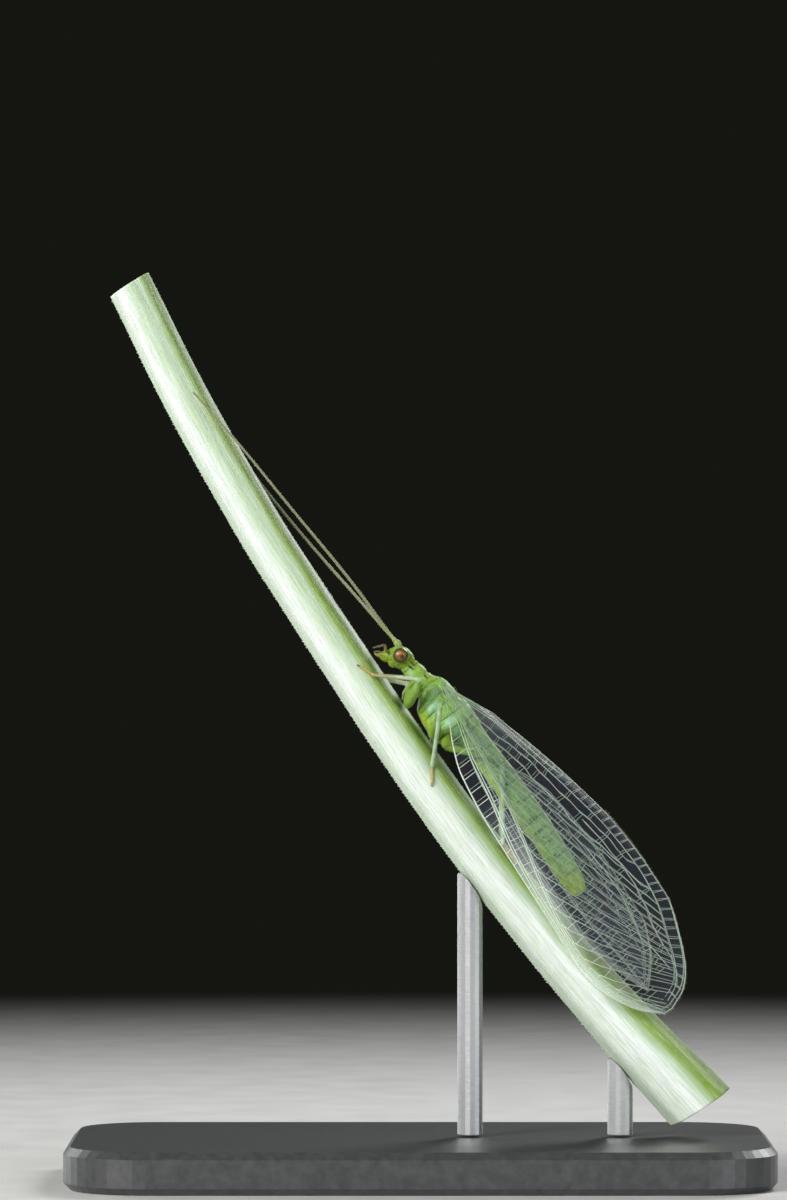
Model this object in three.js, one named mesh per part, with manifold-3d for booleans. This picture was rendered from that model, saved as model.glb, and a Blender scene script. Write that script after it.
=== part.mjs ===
// A green lacewing at rest on a cut length of plant stem, life size, held up by a flat stand.
// Millimetres, +Z up. The animal's left side faces -Y, its head is up and towards -X.
// The animal and the stem are modelled level, head towards -x and back towards +z, in a
// group that is then tipped so that the stem runs down to the right.
// The origin is on the floor, under the middle of the stand's base.
import * as THREE from "three";
import { mergeVertices } from "three/addons/utils/BufferGeometryUtils.js";
import Module from "manifold-3d";

const wasm = await Module();
wasm.setup();

// Space left between two pieces that touch
const GAP = 0.1;

// The animal's place on the stand
const SLOPE_DEG = 57;
const ANIMAL_X = 1.07;
const ANIMAL_Z = 17.05;

// Stand
const BASE_LENGTH = 25;
const BASE_DEPTH = 14;
const BASE_THICK = 1.5;
const BASE_CORNER = 3;
const BASE_BEVEL = 0.25;
const ROD_RADIUS = 0.45;
const ROD_PLACES = { stand_rod_upper: 1.78, stand_rod_lower: 7.12 };

// Stem: its two cut ends, the line of its middle and its thickness, along the level frame's x
const STEM_START = -18.6;
const STEM_END = 17;
const STEM_MIDDLE_Z = [[-18.6, -1.53], [-13, -2.13], [-7.1, -2.39], [-1.5, -2.37], [3.6, -2.21],
  [8.9, -1.71], [13, -1.14], [17, -0.42]];
const STEM_RADIUS = [[-18.6, 0.8], [-11, 0.83], [0, 0.9], [5, 0.94], [10.7, 1.04], [17, 1.24]];
const STEM_RIBS = 8;
const STEM_RIB_HEIGHT = 0.05;
const STEM_SIDES = 16;

// Trunk, from the neck to the tip of the abdomen: top, underside and half width along x
const TRUNK_START = -1.82;
const TRUNK_END = 8.26;
const TRUNK_TOP = [[-1.82, -0.24], [-1.3, -0.15], [-1.05, -0.02], [-0.8, 0.22], [-0.45, 0.32],
  [0.1, 0.34], [0.35, 0.48], [0.9, 0.5], [1.5, 0.46], [3.5, 0.6], [5.5, 0.68], [7.4, 0.62],
  [8.1, 0.5], [8.26, 0.36]];
const TRUNK_UNDERSIDE = [[-1.82, -0.9], [-1.1, -0.86], [-0.95, -0.62], [-0.6, -0.98],
  [-0.25, -1.27], [0.4, -1.34], [0.9, -1.32], [1.2, -1.1], [1.6, -0.56], [3.5, -0.5],
  [5.5, -0.37], [7.6, -0.3], [8.26, -0.14]];
const TRUNK_HALF_WIDTH = [[-1.82, 0.33], [-1.3, 0.38], [-0.98, 0.36], [-0.55, 0.52], [0, 0.56],
  [0.9, 0.5], [1.5, 0.36], [2.8, 0.35], [4.5, 0.42], [7.4, 0.4], [8.26, 0.22]];
const TRUNK_SIDES = 14;
const TRUNK_CUTS = { prothorax: -0.98, mesothorax: 0.2, metathorax: 1.36 };
const ABDOMEN_RINGS = 8;
const ABDOMEN_RING_DEPTH = 0.03;

// Head: a bent, tapering form from the back of the head to the mouth
const HEAD_CUT = -1.87;
const HEAD_LINE = [[-1.8, -0.57], [-2.02, -0.6], [-2.28, -0.66], [-2.5, -0.8], [-2.64, -0.98],
  [-2.76, -1.15], [-2.84, -1.27]];
const HEAD_HEIGHTS = [0.27, 0.4, 0.46, 0.42, 0.3, 0.2, 0.1];
const HEAD_HALF_WIDTHS = [0.3, 0.42, 0.47, 0.42, 0.32, 0.24, 0.14];
const HEAD_SIDES = 14;
const EYE_RADIUS = 0.29;
const EYE_X = -2.29;
const EYE_Z = -0.62;
const EYE_OUT = 0.46;

// Feelers, mouth feelers and legs, each a list of [x, outwards, z]
const ANTENNA_RADIUS = 0.235;
const ANTENNA_TIP_RADIUS = 0.1;
const ANTENNA_TIP_SHARE = 0.12;
const ANTENNA_LEFT = [[-2.5, 0.28, -0.5], [-3.1, 0.3, -0.52], [-5.2, 0.5, -0.64],
  [-8.7, 0.8, -1.02], [-12.3, 1.03, -1.42], [-14.1, 1.2, -1.69]];
const ANTENNA_RIGHT = [[-2.5, 0.28, -0.5], [-3.1, 0.3, -0.54], [-4.3, 0.45, -0.71],
  [-7.8, 0.85, -1.22], [-11.5, 1.16, -1.6], [-13.6, 1.22, -1.75]];
const PALP_RADIUS = 0.11;
const PALP = [[-2.6, 0.15, -0.95], [-2.92, 0.18, -0.93], [-3.04, 0.18, -1.17]];
const LEG_RADII = { coxa: 0.24, femur: 0.23, tibia: 0.22, foot: 0.21, claw: 0.14 };
// root in the trunk, end of the coxa, knee, ankle, foot's tip
const LEGS = {
  leg_fore_left: [[-1.2, 0.15, -0.6], [-0.74, 0.58, -1.28], [-1.2, 1.25, -0.5],
    [-2.2, 1.16, -1.46], [-2.74, 1.13, -1.89]],
  leg_fore_right: [[-1.2, 0.15, -0.6], [-0.8, 0.6, -1.26], [-1.3, 1.22, -0.95],
    [-2.05, 1.14, -1.5], [-2.46, 1.1, -1.84]],
  leg_mid_left: [[0.35, 0.2, -0.8], [0.7, 0.62, -1.22], [0, 1.72, -0.44],
    [1.6, 1.32, -1.53], [2.13, 1.2, -2.13]],
  leg_mid_right: [[0.35, 0.2, -0.8], [0.7, 0.62, -1.22], [-0.05, 1.68, -0.6],
    [1.5, 1.32, -1.6], [2, 1.2, -2.15]],
  leg_hind_left: [[0.95, 0.2, -0.7], [1.35, 0.7, -1.0], [2.85, 0.51, 0.34],
    [5.3, 0.76, -0.68], [6.15, 0.6, -1.04]],
  leg_hind_right: [[0.95, 0.2, -0.7], [1.35, 0.7, -1.0], [2.78, 0.51, 0.32],
    [5.2, 0.76, -0.68], [6, 0.6, -1.05]],
};
const LEG_SIDES = 7;

// The roof that the folded wings form: height of its ridge and of its foot, half width and
// how round it is, along x. A roundness of 1 is a straight slope and 2 is an ellipse.
const ROOF_RIDGE = [[-0.85, 0.92], [0.4, 0.95], [1.4, 1.14], [2.85, 1.6], [5, 2.22], [7, 2.64],
  [8.8, 2.78], [13.3, 2.78]];
const ROOF_FOOT = [[-0.85, -0.12], [0, -0.2], [0.4, -0.34], [1.4, -0.8], [2.5, -1.12],
  [4.5, -1.28], [8.5, -1.31], [10.3, -1.38], [13.3, -1.38]];
const ROOF_HALF_WIDTH = [[-0.85, 0.98], [0, 1.1], [0.6, 1.54], [1.6, 2.02], [2.85, 2.22],
  [7.5, 2.25], [10, 2.1], [11.8, 1.85], [13.3, 1.5]];
const ROOF_ROUNDNESS = [[-0.85, 2.4], [3, 2.4], [5.5, 2], [8.5, 1.6], [13.3, 1.4]];
const RIDGE_HALF_GAP = 0.06;
const WING_ROOT_RADIUS = 0.2;
const MEMBRANE = 0.4;
const EDGE_VEIN_SHARE = 0.04;
const VEIN_HALF_SHARE = 0.03;
const CROSSVEIN_HALF_WIDTH = 0.12;
const CROSSVEIN_SHARE = 0.8;
const TIP_CROWDING = 1.2;
// How far the membrane's inner face lies below its outer one at the ridge
const RIDGE_THICKNESS = [[-0.85, 0.4], [2.85, 0.46], [5, 0.6], [8.5, 0.75], [13.3, 0.8]];

// Wings: upper and lower edge along x as seen from the side, and the main veins as shares of
// the chord, 0 at the upper edge and 1 at the front edge, from root to tip
const FOREWING = {
  start: -0.85,
  end: 13.42,
  upper: [[-0.85, 0.25], [0, 0.43], [0.7, 0.74], [1.4, 1.1], [2.85, 1.6], [5, 2.22], [7, 2.64],
    [8.8, 2.78], [10, 2.68], [11.4, 2.29], [12.4, 1.88], [13.1, 1.32], [13.42, 0.66]],
  lower: [[-0.85, -0.12], [0, -0.2], [0.4, -0.34], [1.4, -0.8], [2.5, -1.12], [4.5, -1.28],
    [8.5, -1.31], [10.3, -1.38], [11.3, -1.2], [12.2, -0.78], [12.9, -0.3], [13.42, 0.3]],
  veins: [[0.22, 0.34, 0.4, 0.3], [0.42, 0.5, 0.52, 0.46], [0.6, 0.62, 0.66, 0.66],
    [0.72, 0.76, 0.84, 0.86]],
  crossveins: 12,
  lean: 0.54,
  root: [[-0.5, 0.4, -0.05], [-0.35, 0.82, 0.05]],
  inset: 0,
  membrane: MEMBRANE,
  veinHeight: 0.1,
};
const HINDWING = {
  start: 0.85,
  end: 12.4,
  upper: [[0.85, 0.08], [1.4, 0.12], [2.85, 0.36], [3.8, 0.85], [5, 1.3], [7, 1.78], [8.9, 1.75],
    [10.3, 1.5], [11.4, 1.08], [12, 0.66], [12.4, 0.3]],
  lower: [[0.85, -0.1], [1.4, -0.36], [3.5, -0.72], [7, -0.84], [9.6, -0.74], [10.7, -0.46],
    [11.6, -0.12], [12, 0.05], [12.4, 0.24]],
  veins: [[0.26, 0.36, 0.4, 0.36], [0.5, 0.54, 0.58, 0.6], [0.74, 0.76, 0.82, 0.8]],
  crossveins: 9,
  lean: 0.36,
  root: [[0.75, 0.35, -0.1], [1.15, 0.72, -0.15]],
  inset: MEMBRANE + 0.22,
  membrane: MEMBRANE,
  veinHeight: 0.08,
};

const COLOURS = {
  body: 0x8fae52, thorax: 0x9bbd7c, eye: 0xb5662a, antenna: 0xa9a680, leg: 0xa9c07c,
  forewing: 0xcfe0d4, hindwing: 0xc3d8cc, stem: 0xb9d0a2, base: 0x2b2d30, rod: 0xb8bbbf,
};

// A smooth curve through a few [place, value] pairs that doesn't overshoot them
function profile(keys) {
  const slopes = keys.map((key, i) => {
    if (i === 0 || i === keys.length - 1) return 0;
    const before = (key[1] - keys[i - 1][1]) / (key[0] - keys[i - 1][0]);
    const after = (keys[i + 1][1] - key[1]) / (keys[i + 1][0] - key[0]);
    return before * after <= 0 ? 0 : (2 * before * after) / (before + after);
  });
  const last = keys.length - 1;
  slopes[0] = (keys[1][1] - keys[0][1]) / (keys[1][0] - keys[0][0]);
  slopes[last] = (keys[last][1] - keys[last - 1][1]) / (keys[last][0] - keys[last - 1][0]);
  return (place) => {
    const x = THREE.MathUtils.clamp(place, keys[0][0], keys[last][0]);
    let i = 0;
    while (i < last - 1 && x > keys[i + 1][0]) i += 1;
    const width = keys[i + 1][0] - keys[i][0];
    const t = (x - keys[i][0]) / width;
    const rest = 1 - t;
    return (1 + 2 * t) * rest * rest * keys[i][1] + t * rest * rest * width * slopes[i] +
      t * t * (3 - 2 * t) * keys[i + 1][1] - t * t * rest * width * slopes[i + 1];
  };
}

// Solids from three.js geometry, and back
function solid(geometry) {
  const bare = geometry.index ? geometry.toNonIndexed() : geometry.clone();
  bare.deleteAttribute("normal");
  bare.deleteAttribute("uv");
  const merged = mergeVertices(bare, 1e-4);
  return new wasm.Manifold(new wasm.Mesh({
    numProp: 3,
    vertProperties: new Float32Array(merged.attributes.position.array),
    triVerts: new Uint32Array(merged.index.array),
  }));
}

function geometryOf(made) {
  const mesh = made.getMesh();
  const geometry = new THREE.BufferGeometry();
  geometry.setAttribute("position", new THREE.BufferAttribute(mesh.vertProperties, 3));
  geometry.setIndex(new THREE.BufferAttribute(mesh.triVerts, 1));
  geometry.computeVertexNormals();
  return geometry;
}

function joined(solids) {
  return solids.reduce((all, one) => all.add(one));
}

function largest(made) {
  return made.decompose().sort((a, b) => b.volume() - a.volume())[0];
}

function ball(radius, at, around = 14, rows = 10) {
  return solid(new THREE.SphereGeometry(radius, around, rows).translate(...at));
}

// Everything whose x lies between two planes
function slab(from, to) {
  const reach = 60;
  return solid(new THREE.BoxGeometry(to - from, reach, reach).translate((from + to) / 2, 0, 0));
}

// A closed form through rings: a cylinder whose rows are put where ring(share, angle) says
function ringed(rows, sides, ring) {
  const geometry = new THREE.CylinderGeometry(1, 1, 1, sides, rows);
  const position = geometry.attributes.position;
  for (let i = 0; i < position.count; i += 1) {
    const share = 0.5 - position.getY(i);
    const angle = Math.atan2(position.getZ(i), position.getX(i));
    const centre = Math.hypot(position.getX(i), position.getZ(i)) < 0.5;
    const at = ring(share, angle, centre ? 0 : 1);
    position.setXYZ(i, at.x, at.y, at.z);
  }
  return geometry;
}

function facingOut(geometry) {
  const made = solid(geometry);
  if (made.volume() > 0) return made;
  const flipped = geometry.toNonIndexed();
  const position = flipped.attributes.position;
  for (let i = 0; i < position.count; i += 3) {
    const a = new THREE.Vector3().fromBufferAttribute(position, i + 1);
    const b = new THREE.Vector3().fromBufferAttribute(position, i + 2);
    position.setXYZ(i + 1, b.x, b.y, b.z);
    position.setXYZ(i + 2, a.x, a.y, a.z);
  }
  return solid(flipped);
}

// A round tube along a curve, its radius given along it
function tube(curve, radiusAt, sides, steps) {
  const frames = curve.computeFrenetFrames(steps, false);
  return facingOut(ringed(steps, sides, (share, angle, out) => {
    const i = Math.round(share * steps);
    const radius = out * radiusAt(share);
    return curve.getPointAt(share)
      .addScaledVector(frames.normals[i], radius * Math.cos(angle))
      .addScaledVector(frames.binormals[i], radius * Math.sin(angle));
  }));
}

// One length of a limb: a spindle with round ends from a to b
function limb(a, b, radiusA, radiusB) {
  const length = a.distanceTo(b);
  const profilePoints = [
    new THREE.Vector2(0, -radiusA),
    new THREE.Vector2(radiusA * 0.75, -radiusA * 0.66),
    new THREE.Vector2(radiusA, 0),
    new THREE.Vector2(radiusB, length),
    new THREE.Vector2(radiusB * 0.75, length + radiusB * 0.66),
    new THREE.Vector2(0, length + radiusB),
  ];
  const geometry = new THREE.LatheGeometry(profilePoints, LEG_SIDES);
  const along = b.clone().sub(a).normalize();
  geometry.applyQuaternion(new THREE.Quaternion().setFromUnitVectors(new THREE.Vector3(0, 1, 0), along));
  geometry.translate(a.x, a.y, a.z);
  return facingOut(geometry);
}

// side is -1 for the animal's left and 1 for its right
function place([x, out, z], side) {
  return new THREE.Vector3(x, side * out, z);
}

function sideOf(name) {
  return name.endsWith("_left") ? -1 : 1;
}

// Stem
const stemMiddle = profile(STEM_MIDDLE_Z);
const stemRadius = profile(STEM_RADIUS);

function stemSolid(extra) {
  const steps = 22;
  return facingOut(ringed(steps, STEM_SIDES, (share, angle, out) => {
    const x = THREE.MathUtils.lerp(STEM_START - extra, STEM_END + extra, share);
    const tilt = Math.atan2(stemMiddle(x + 0.1) - stemMiddle(x - 0.1), 0.2);
    const rib = STEM_RIB_HEIGHT * Math.cos(STEM_RIBS * angle);
    const radius = out * (stemRadius(x) + rib + extra);
    const up = radius * Math.sin(angle);
    return new THREE.Vector3(x - up * Math.sin(tilt), radius * Math.cos(angle),
      stemMiddle(x) + up * Math.cos(tilt));
  }));
}

// Trunk: prothorax, mesothorax, metathorax and abdomen in one, parted by thin cuts
const trunkTop = profile(TRUNK_TOP);
const trunkUnderside = profile(TRUNK_UNDERSIDE);
const trunkHalfWidth = profile(TRUNK_HALF_WIDTH);

function trunkSolid(extra) {
  const steps = 46;
  return facingOut(ringed(steps, TRUNK_SIDES, (share, angle, out) => {
    const x = THREE.MathUtils.lerp(TRUNK_START - extra, TRUNK_END + extra, share);
    const along = (x - TRUNK_CUTS.metathorax) / (TRUNK_END - TRUNK_CUTS.metathorax);
    const waist = along > 0 && extra === 0
      ? ABDOMEN_RING_DEPTH * Math.cos(2 * Math.PI * ABDOMEN_RINGS * along) ** 8 : 0;
    const top = trunkTop(x) - waist + extra;
    const underside = trunkUnderside(x) + waist - extra;
    const halfWidth = trunkHalfWidth(x) - waist + extra;
    return new THREE.Vector3(x, out * halfWidth * Math.cos(angle),
      (top + underside) / 2 + out * ((top - underside) / 2) * Math.sin(angle));
  }));
}

// Head
function headSolid(extra) {
  const line = new THREE.CatmullRomCurve3(HEAD_LINE.map(([x, z]) => new THREE.Vector3(x, 0, z)));
  const share = (i) => i / (HEAD_LINE.length - 1);
  const heights = profile(HEAD_HEIGHTS.map((h, i) => [share(i), h]));
  const halfWidths = profile(HEAD_HALF_WIDTHS.map((w, i) => [share(i), w]));
  const steps = 12;
  return facingOut(ringed(steps, HEAD_SIDES, (along, angle, out) => {
    const at = line.getPoint(along);
    const ahead = line.getTangent(along);
    const up = out * (heights(along) + extra) * Math.sin(angle);
    const past = extra * (along === 0 ? -1 : 0) + extra * (along === 1 ? 1 : 0);
    return new THREE.Vector3(at.x + ahead.z * up + ahead.x * past,
      out * (halfWidths(along) + extra) * Math.cos(angle), at.z - ahead.x * up + ahead.z * past);
  }));
}

// Wings
const roofRidge = profile(ROOF_RIDGE);
const roofFoot = profile(ROOF_FOOT);
const roofHalfWidth = profile(ROOF_HALF_WIDTH);
const roofRoundness = profile(ROOF_ROUNDNESS);
const ridgeThickness = profile(RIDGE_THICKNESS);

// A point of the roof, or of a lower roof nested in it by inset. bend runs from 0 at the
// ridge to a quarter turn at the foot.
function roofPoint(x, bend, inset, side) {
  const round = 2 / roofRoundness(x);
  const drop = inset * (ridgeThickness(x) / MEMBRANE);
  const rise = roofRidge(x) - drop - roofFoot(x);
  const out = RIDGE_HALF_GAP + (roofHalfWidth(x) - inset) * Math.max(0, Math.sin(bend)) ** round;
  return new THREE.Vector3(x, side * out, roofFoot(x) + rise * Math.max(0, Math.cos(bend)) ** round);
}

function bendAt(x, z, inset) {
  const drop = inset * (ridgeThickness(x) / MEMBRANE);
  const height = (z - roofFoot(x)) / (roofRidge(x) - drop - roofFoot(x));
  return Math.acos(THREE.MathUtils.clamp(height, 0, 1) ** (roofRoundness(x) / 2));
}

// The columns of a wing's grid across the chord and its rows along the span. A raised line has
// a flat one close by on each side, and a raised row is one crossvein.
function wingColumns(wing) {
  const columns = [
    { share: () => 0, raised: true },
    { share: () => EDGE_VEIN_SHARE, raised: false },
  ];
  for (const shares of wing.veins) {
    const at = profile(shares.map((share, i) => [i / (shares.length - 1), share]));
    columns.push({ share: (s) => at(s) - VEIN_HALF_SHARE, raised: false });
    columns.push({ share: at, raised: true });
    columns.push({ share: (s) => at(s) + VEIN_HALF_SHARE, raised: false });
  }
  columns.push({ share: () => 1 - EDGE_VEIN_SHARE, raised: false });
  columns.push({ share: () => 1, raised: true });
  return columns;
}

function wingRows(wing) {
  const half = CROSSVEIN_HALF_WIDTH / (wing.end - wing.start);
  const rows = [{ s: 0, crossvein: 0 }];
  for (let i = 1; i <= wing.crossveins; i += 1) {
    const middle = i / (wing.crossveins + 1);
    rows.push({ s: middle - half, crossvein: 0 });
    rows.push({ s: middle, crossvein: i });
    rows.push({ s: middle + half, crossvein: 0 });
  }
  rows.push({ s: 1 - half, crossvein: 0 });
  rows.push({ s: 1, crossvein: 0 });
  return rows;
}

// A wing is a plate between two roofs, its main veins and crossveins raised in its outer face.
// Crossveins run all the way in the two outermost bands and by turns in the others.
function wingSolid(wing, side) {
  const upper = profile(wing.upper);
  const lower = profile(wing.lower);
  const columns = wingColumns(wing);
  const rows = wingRows(wing);
  const bands = wing.veins.length + 1;

  const rise = (row, column) => {
    if (columns[column].raised) return wing.veinHeight;
    const { crossvein } = rows[row];
    if (crossvein === 0) return 0;
    const band = Math.floor((column - 1) / 3);
    const full = band === 0 || band === bands - 1 || (crossvein + band) % 2 === 0;
    return full ? wing.veinHeight * CROSSVEIN_SHARE : 0;
  };
  const surfacePoint = (row, column, depth) => {
    const { s } = rows[row];
    const chord = columns[column].share(s);
    const lean = wing.lean * Math.sin(Math.PI * s) * ((1 - chord) ** 2 - chord / 3);
    const along = 1 - (1 - s) ** TIP_CROWDING;
    const x = THREE.MathUtils.lerp(wing.start, wing.end, along) + lean;
    const fromBend = bendAt(x, upper(x), wing.inset);
    const toBend = bendAt(x, lower(x), wing.inset);
    return roofPoint(x, THREE.MathUtils.lerp(fromBend, toBend, chord), wing.inset + depth, side);
  };

  const outer = [];
  const inner = [];
  rows.forEach((_, row) => columns.forEach((__, column) => {
    outer.push(...surfacePoint(row, column, -rise(row, column)));
    inner.push(...surfacePoint(row, column, wing.membrane));
  }));

  const lastRow = rows.length - 1;
  const lastColumn = columns.length - 1;
  const top = (row, column) => row * columns.length + column;
  const under = (row, column) => outer.length / 3 + top(row, column);
  const faces = [];
  const quad = (a, b, c, d) => faces.push(a, b, c, a, c, d);
  for (let r = 0; r < lastRow; r += 1) {
    for (let c = 0; c < lastColumn; c += 1) {
      quad(top(r, c), top(r + 1, c), top(r + 1, c + 1), top(r, c + 1));
      faces.push(under(r, c), under(r + 1, c + 1), under(r + 1, c));
      faces.push(under(r, c), under(r, c + 1), under(r + 1, c + 1));
    }
    quad(top(r, 0), under(r, 0), under(r + 1, 0), top(r + 1, 0));
    quad(top(r, lastColumn), top(r + 1, lastColumn), under(r + 1, lastColumn), under(r, lastColumn));
  }
  for (let c = 0; c < lastColumn; c += 1) {
    quad(top(0, c), top(0, c + 1), under(0, c + 1), under(0, c));
    quad(top(lastRow, c), under(lastRow, c), under(lastRow, c + 1), top(lastRow, c + 1));
  }
  const geometry = new THREE.BufferGeometry();
  const position = new Float32Array([...outer, ...inner]);
  geometry.setAttribute("position", new THREE.BufferAttribute(position, 3));
  geometry.setIndex(faces);
  const [rootIn, rootOut] = wing.root.map((point) => place(point, side));
  return facingOut(geometry).add(limb(rootIn, rootOut, WING_ROOT_RADIUS, WING_ROOT_RADIUS));
}

// Legs
function legSolid(points, side) {
  const at = points.map((point) => place(point, side));
  const { coxa, femur, tibia, foot, claw } = LEG_RADII;
  return joined([
    limb(at[0], at[1], coxa, coxa),
    limb(at[1], at[2], femur, tibia),
    limb(at[2], at[3], tibia, foot),
    limb(at[3], at[4], foot, claw),
  ]);
}

// Assembly
const root = new THREE.Group();
const animal = new THREE.Group();
animal.rotation.y = THREE.MathUtils.degToRad(SLOPE_DEG);
animal.position.set(ANIMAL_X, 0, ANIMAL_Z);
root.add(animal);
root.updateMatrixWorld(true);

function addNode(group, name, made, colour, roughness = 0.5, metalness = 0) {
  const material = new THREE.MeshStandardMaterial({ color: colour, roughness, metalness });
  const mesh = new THREE.Mesh(geometryOf(largest(made)), material);
  mesh.name = name;
  group.add(mesh);
}

const stem = stemSolid(0);
const stemRoom = stemSolid(GAP);
const trunk = trunkSolid(0);
const trunkRoom = trunkSolid(GAP);
const head = headSolid(0).subtract(slab(HEAD_CUT, 0));
const headRoom = headSolid(GAP);

addNode(animal, "stem", stem, COLOURS.stem, 0.7);
addNode(animal, "head", head, COLOURS.body);

const cuts = Object.entries(TRUNK_CUTS);
cuts.forEach(([name, cut], i) => {
  const from = i === 0 ? HEAD_CUT + GAP : cuts[i - 1][1] + GAP;
  addNode(animal, name, trunk.intersect(slab(from, cut)), i === 0 ? COLOURS.body : COLOURS.thorax);
});
addNode(animal, "abdomen", trunk.intersect(slab(TRUNK_CUTS.metathorax + GAP, TRUNK_END + 1)),
  COLOURS.body);

for (const [side, label, line] of [[-1, "left", ANTENNA_LEFT], [1, "right", ANTENNA_RIGHT]]) {
  const eye = ball(EYE_RADIUS, [EYE_X, side * EYE_OUT, EYE_Z], 12, 8);
  addNode(animal, `eye_${label}`, eye.subtract(headRoom), COLOURS.eye, 0.2);

  const curve = new THREE.CatmullRomCurve3(line.map((point) => place(point, side)));
  const antenna = tube(curve, (share) => {
    const tip = Math.max(0, (share - 1 + ANTENNA_TIP_SHARE) / ANTENNA_TIP_SHARE);
    return THREE.MathUtils.lerp(ANTENNA_RADIUS, ANTENNA_TIP_RADIUS, tip);
  }, 8, 22);
  const eyeRoom = ball(EYE_RADIUS + GAP, [EYE_X, side * EYE_OUT, EYE_Z]);
  addNode(animal, `antenna_${label}`, antenna.subtract(headRoom).subtract(eyeRoom), COLOURS.antenna, 0.6);

  const palp = PALP.map((point) => place(point, side));
  addNode(animal, `palp_${label}`, joined([
    limb(palp[0], palp[1], PALP_RADIUS, PALP_RADIUS),
    limb(palp[1], palp[2], PALP_RADIUS, PALP_RADIUS * 0.8),
  ]).subtract(headRoom), COLOURS.antenna, 0.6);

  for (const [pair, wing] of [["forewing", FOREWING], ["hindwing", HINDWING]]) {
    addNode(animal, `${pair}_${label}`, wingSolid(wing, side).subtract(trunkRoom), COLOURS[pair], 0.3);
  }
}

for (const [name, points] of Object.entries(LEGS)) {
  const leg = legSolid(points, sideOf(name)).subtract(trunkRoom).subtract(stemRoom);
  addNode(animal, name, leg, COLOURS.leg);
}

// Stand: a flat base with two rods up to the underside of the stem
const outline = new THREE.Shape();
const halfLength = BASE_LENGTH / 2 - BASE_BEVEL;
const halfDepth = BASE_DEPTH / 2 - BASE_BEVEL;
const corner = BASE_CORNER - BASE_BEVEL;
outline.moveTo(-halfLength + corner, -halfDepth);
outline.absarc(halfLength - corner, -halfDepth + corner, corner, -Math.PI / 2, 0);
outline.absarc(halfLength - corner, halfDepth - corner, corner, 0, Math.PI / 2);
outline.absarc(-halfLength + corner, halfDepth - corner, corner, Math.PI / 2, Math.PI);
outline.absarc(-halfLength + corner, -halfDepth + corner, corner, Math.PI, 1.5 * Math.PI);
const base = new THREE.ExtrudeGeometry(outline, {
  depth: BASE_THICK - 2 * BASE_BEVEL,
  bevelSize: BASE_BEVEL,
  bevelThickness: BASE_BEVEL,
  bevelSegments: 1,
  curveSegments: 5,
}).translate(0, 0, BASE_BEVEL);
addNode(root, "stand_base", facingOut(base), COLOURS.base, 0.4);

const standingStemRoom = solid(geometryOf(stemRoom).applyMatrix4(animal.matrixWorld));
for (const [name, x] of Object.entries(ROD_PLACES)) {
  const foot = BASE_THICK + GAP;
  const reach = 20;
  const rod = new THREE.CylinderGeometry(ROD_RADIUS, ROD_RADIUS, reach, 16)
    .rotateX(Math.PI / 2).translate(x, 0, foot + reach / 2);
  const cut = solid(rod).subtract(standingStemRoom).decompose()
    .sort((a, b) => a.boundingBox().min[2] - b.boundingBox().min[2])[0];
  addNode(root, name, cut, COLOURS.rod, 0.3, 0.9);
}

export default root;
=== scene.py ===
"""A still, life-size model of a green lacewing on a cut length of stem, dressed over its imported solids.

Shapes are laid out in millimetres in a level frame: x runs from head to tail along the animal, z
points out of its back and y is across it, with its left side at -y, towards the camera. to_world
turns that frame with the steep stem and gives metres.
"""
import math
import random

import bpy
import numpy as np
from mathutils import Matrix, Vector, kdtree


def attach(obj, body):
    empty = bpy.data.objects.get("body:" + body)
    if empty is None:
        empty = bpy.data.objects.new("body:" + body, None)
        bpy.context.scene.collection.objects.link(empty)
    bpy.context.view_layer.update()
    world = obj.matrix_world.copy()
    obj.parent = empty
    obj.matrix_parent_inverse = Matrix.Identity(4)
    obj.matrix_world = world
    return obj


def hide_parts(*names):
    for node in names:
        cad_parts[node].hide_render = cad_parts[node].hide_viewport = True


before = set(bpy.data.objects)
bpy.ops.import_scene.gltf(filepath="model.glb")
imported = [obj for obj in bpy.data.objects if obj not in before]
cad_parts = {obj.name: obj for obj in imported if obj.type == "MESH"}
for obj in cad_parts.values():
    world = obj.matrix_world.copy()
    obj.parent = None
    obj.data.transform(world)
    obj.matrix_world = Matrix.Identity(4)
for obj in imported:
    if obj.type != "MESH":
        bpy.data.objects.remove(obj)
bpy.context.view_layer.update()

# The level frame's place in the model
SLOPE = math.radians(57)
ANIMAL_X = 1.07
ANIMAL_Z = 17.05
MM = 0.001
SIDES = {"left": -1, "right": 1}

# Camera, in millimetres
CAMERA_LENS = 200
CAMERA_SENSOR = 36
CAMERA_PLACE = (-0.943, -237.2, 20.6)

# Floor, which fades into the backdrop between two distances
FLOOR_RINGS = (12, 40, 90, 140, 190)
FLOOR_SIDES = 96
FLOOR_FADE_START = 24
FLOOR_FADE_END = 115
BACKDROP = (0.0075, 0.0082, 0.0062, 1)

# Lights: name, place, height aimed at, size, power, colour
LIGHTS = [
    ("key", (-170, -200, 130), 18, 130, 1.1, (1.0, 0.985, 0.96)),
    ("fill", (190, -170, 70), 16, 170, 0.34, (0.96, 0.98, 1.0)),
    ("rim", (120, 190, 160), 16, 120, 0.5, (1.0, 1.0, 1.0)),
    ("back fill", (-170, 150, 60), 16, 150, 0.3, (0.97, 0.99, 1.0)),
]

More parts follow.
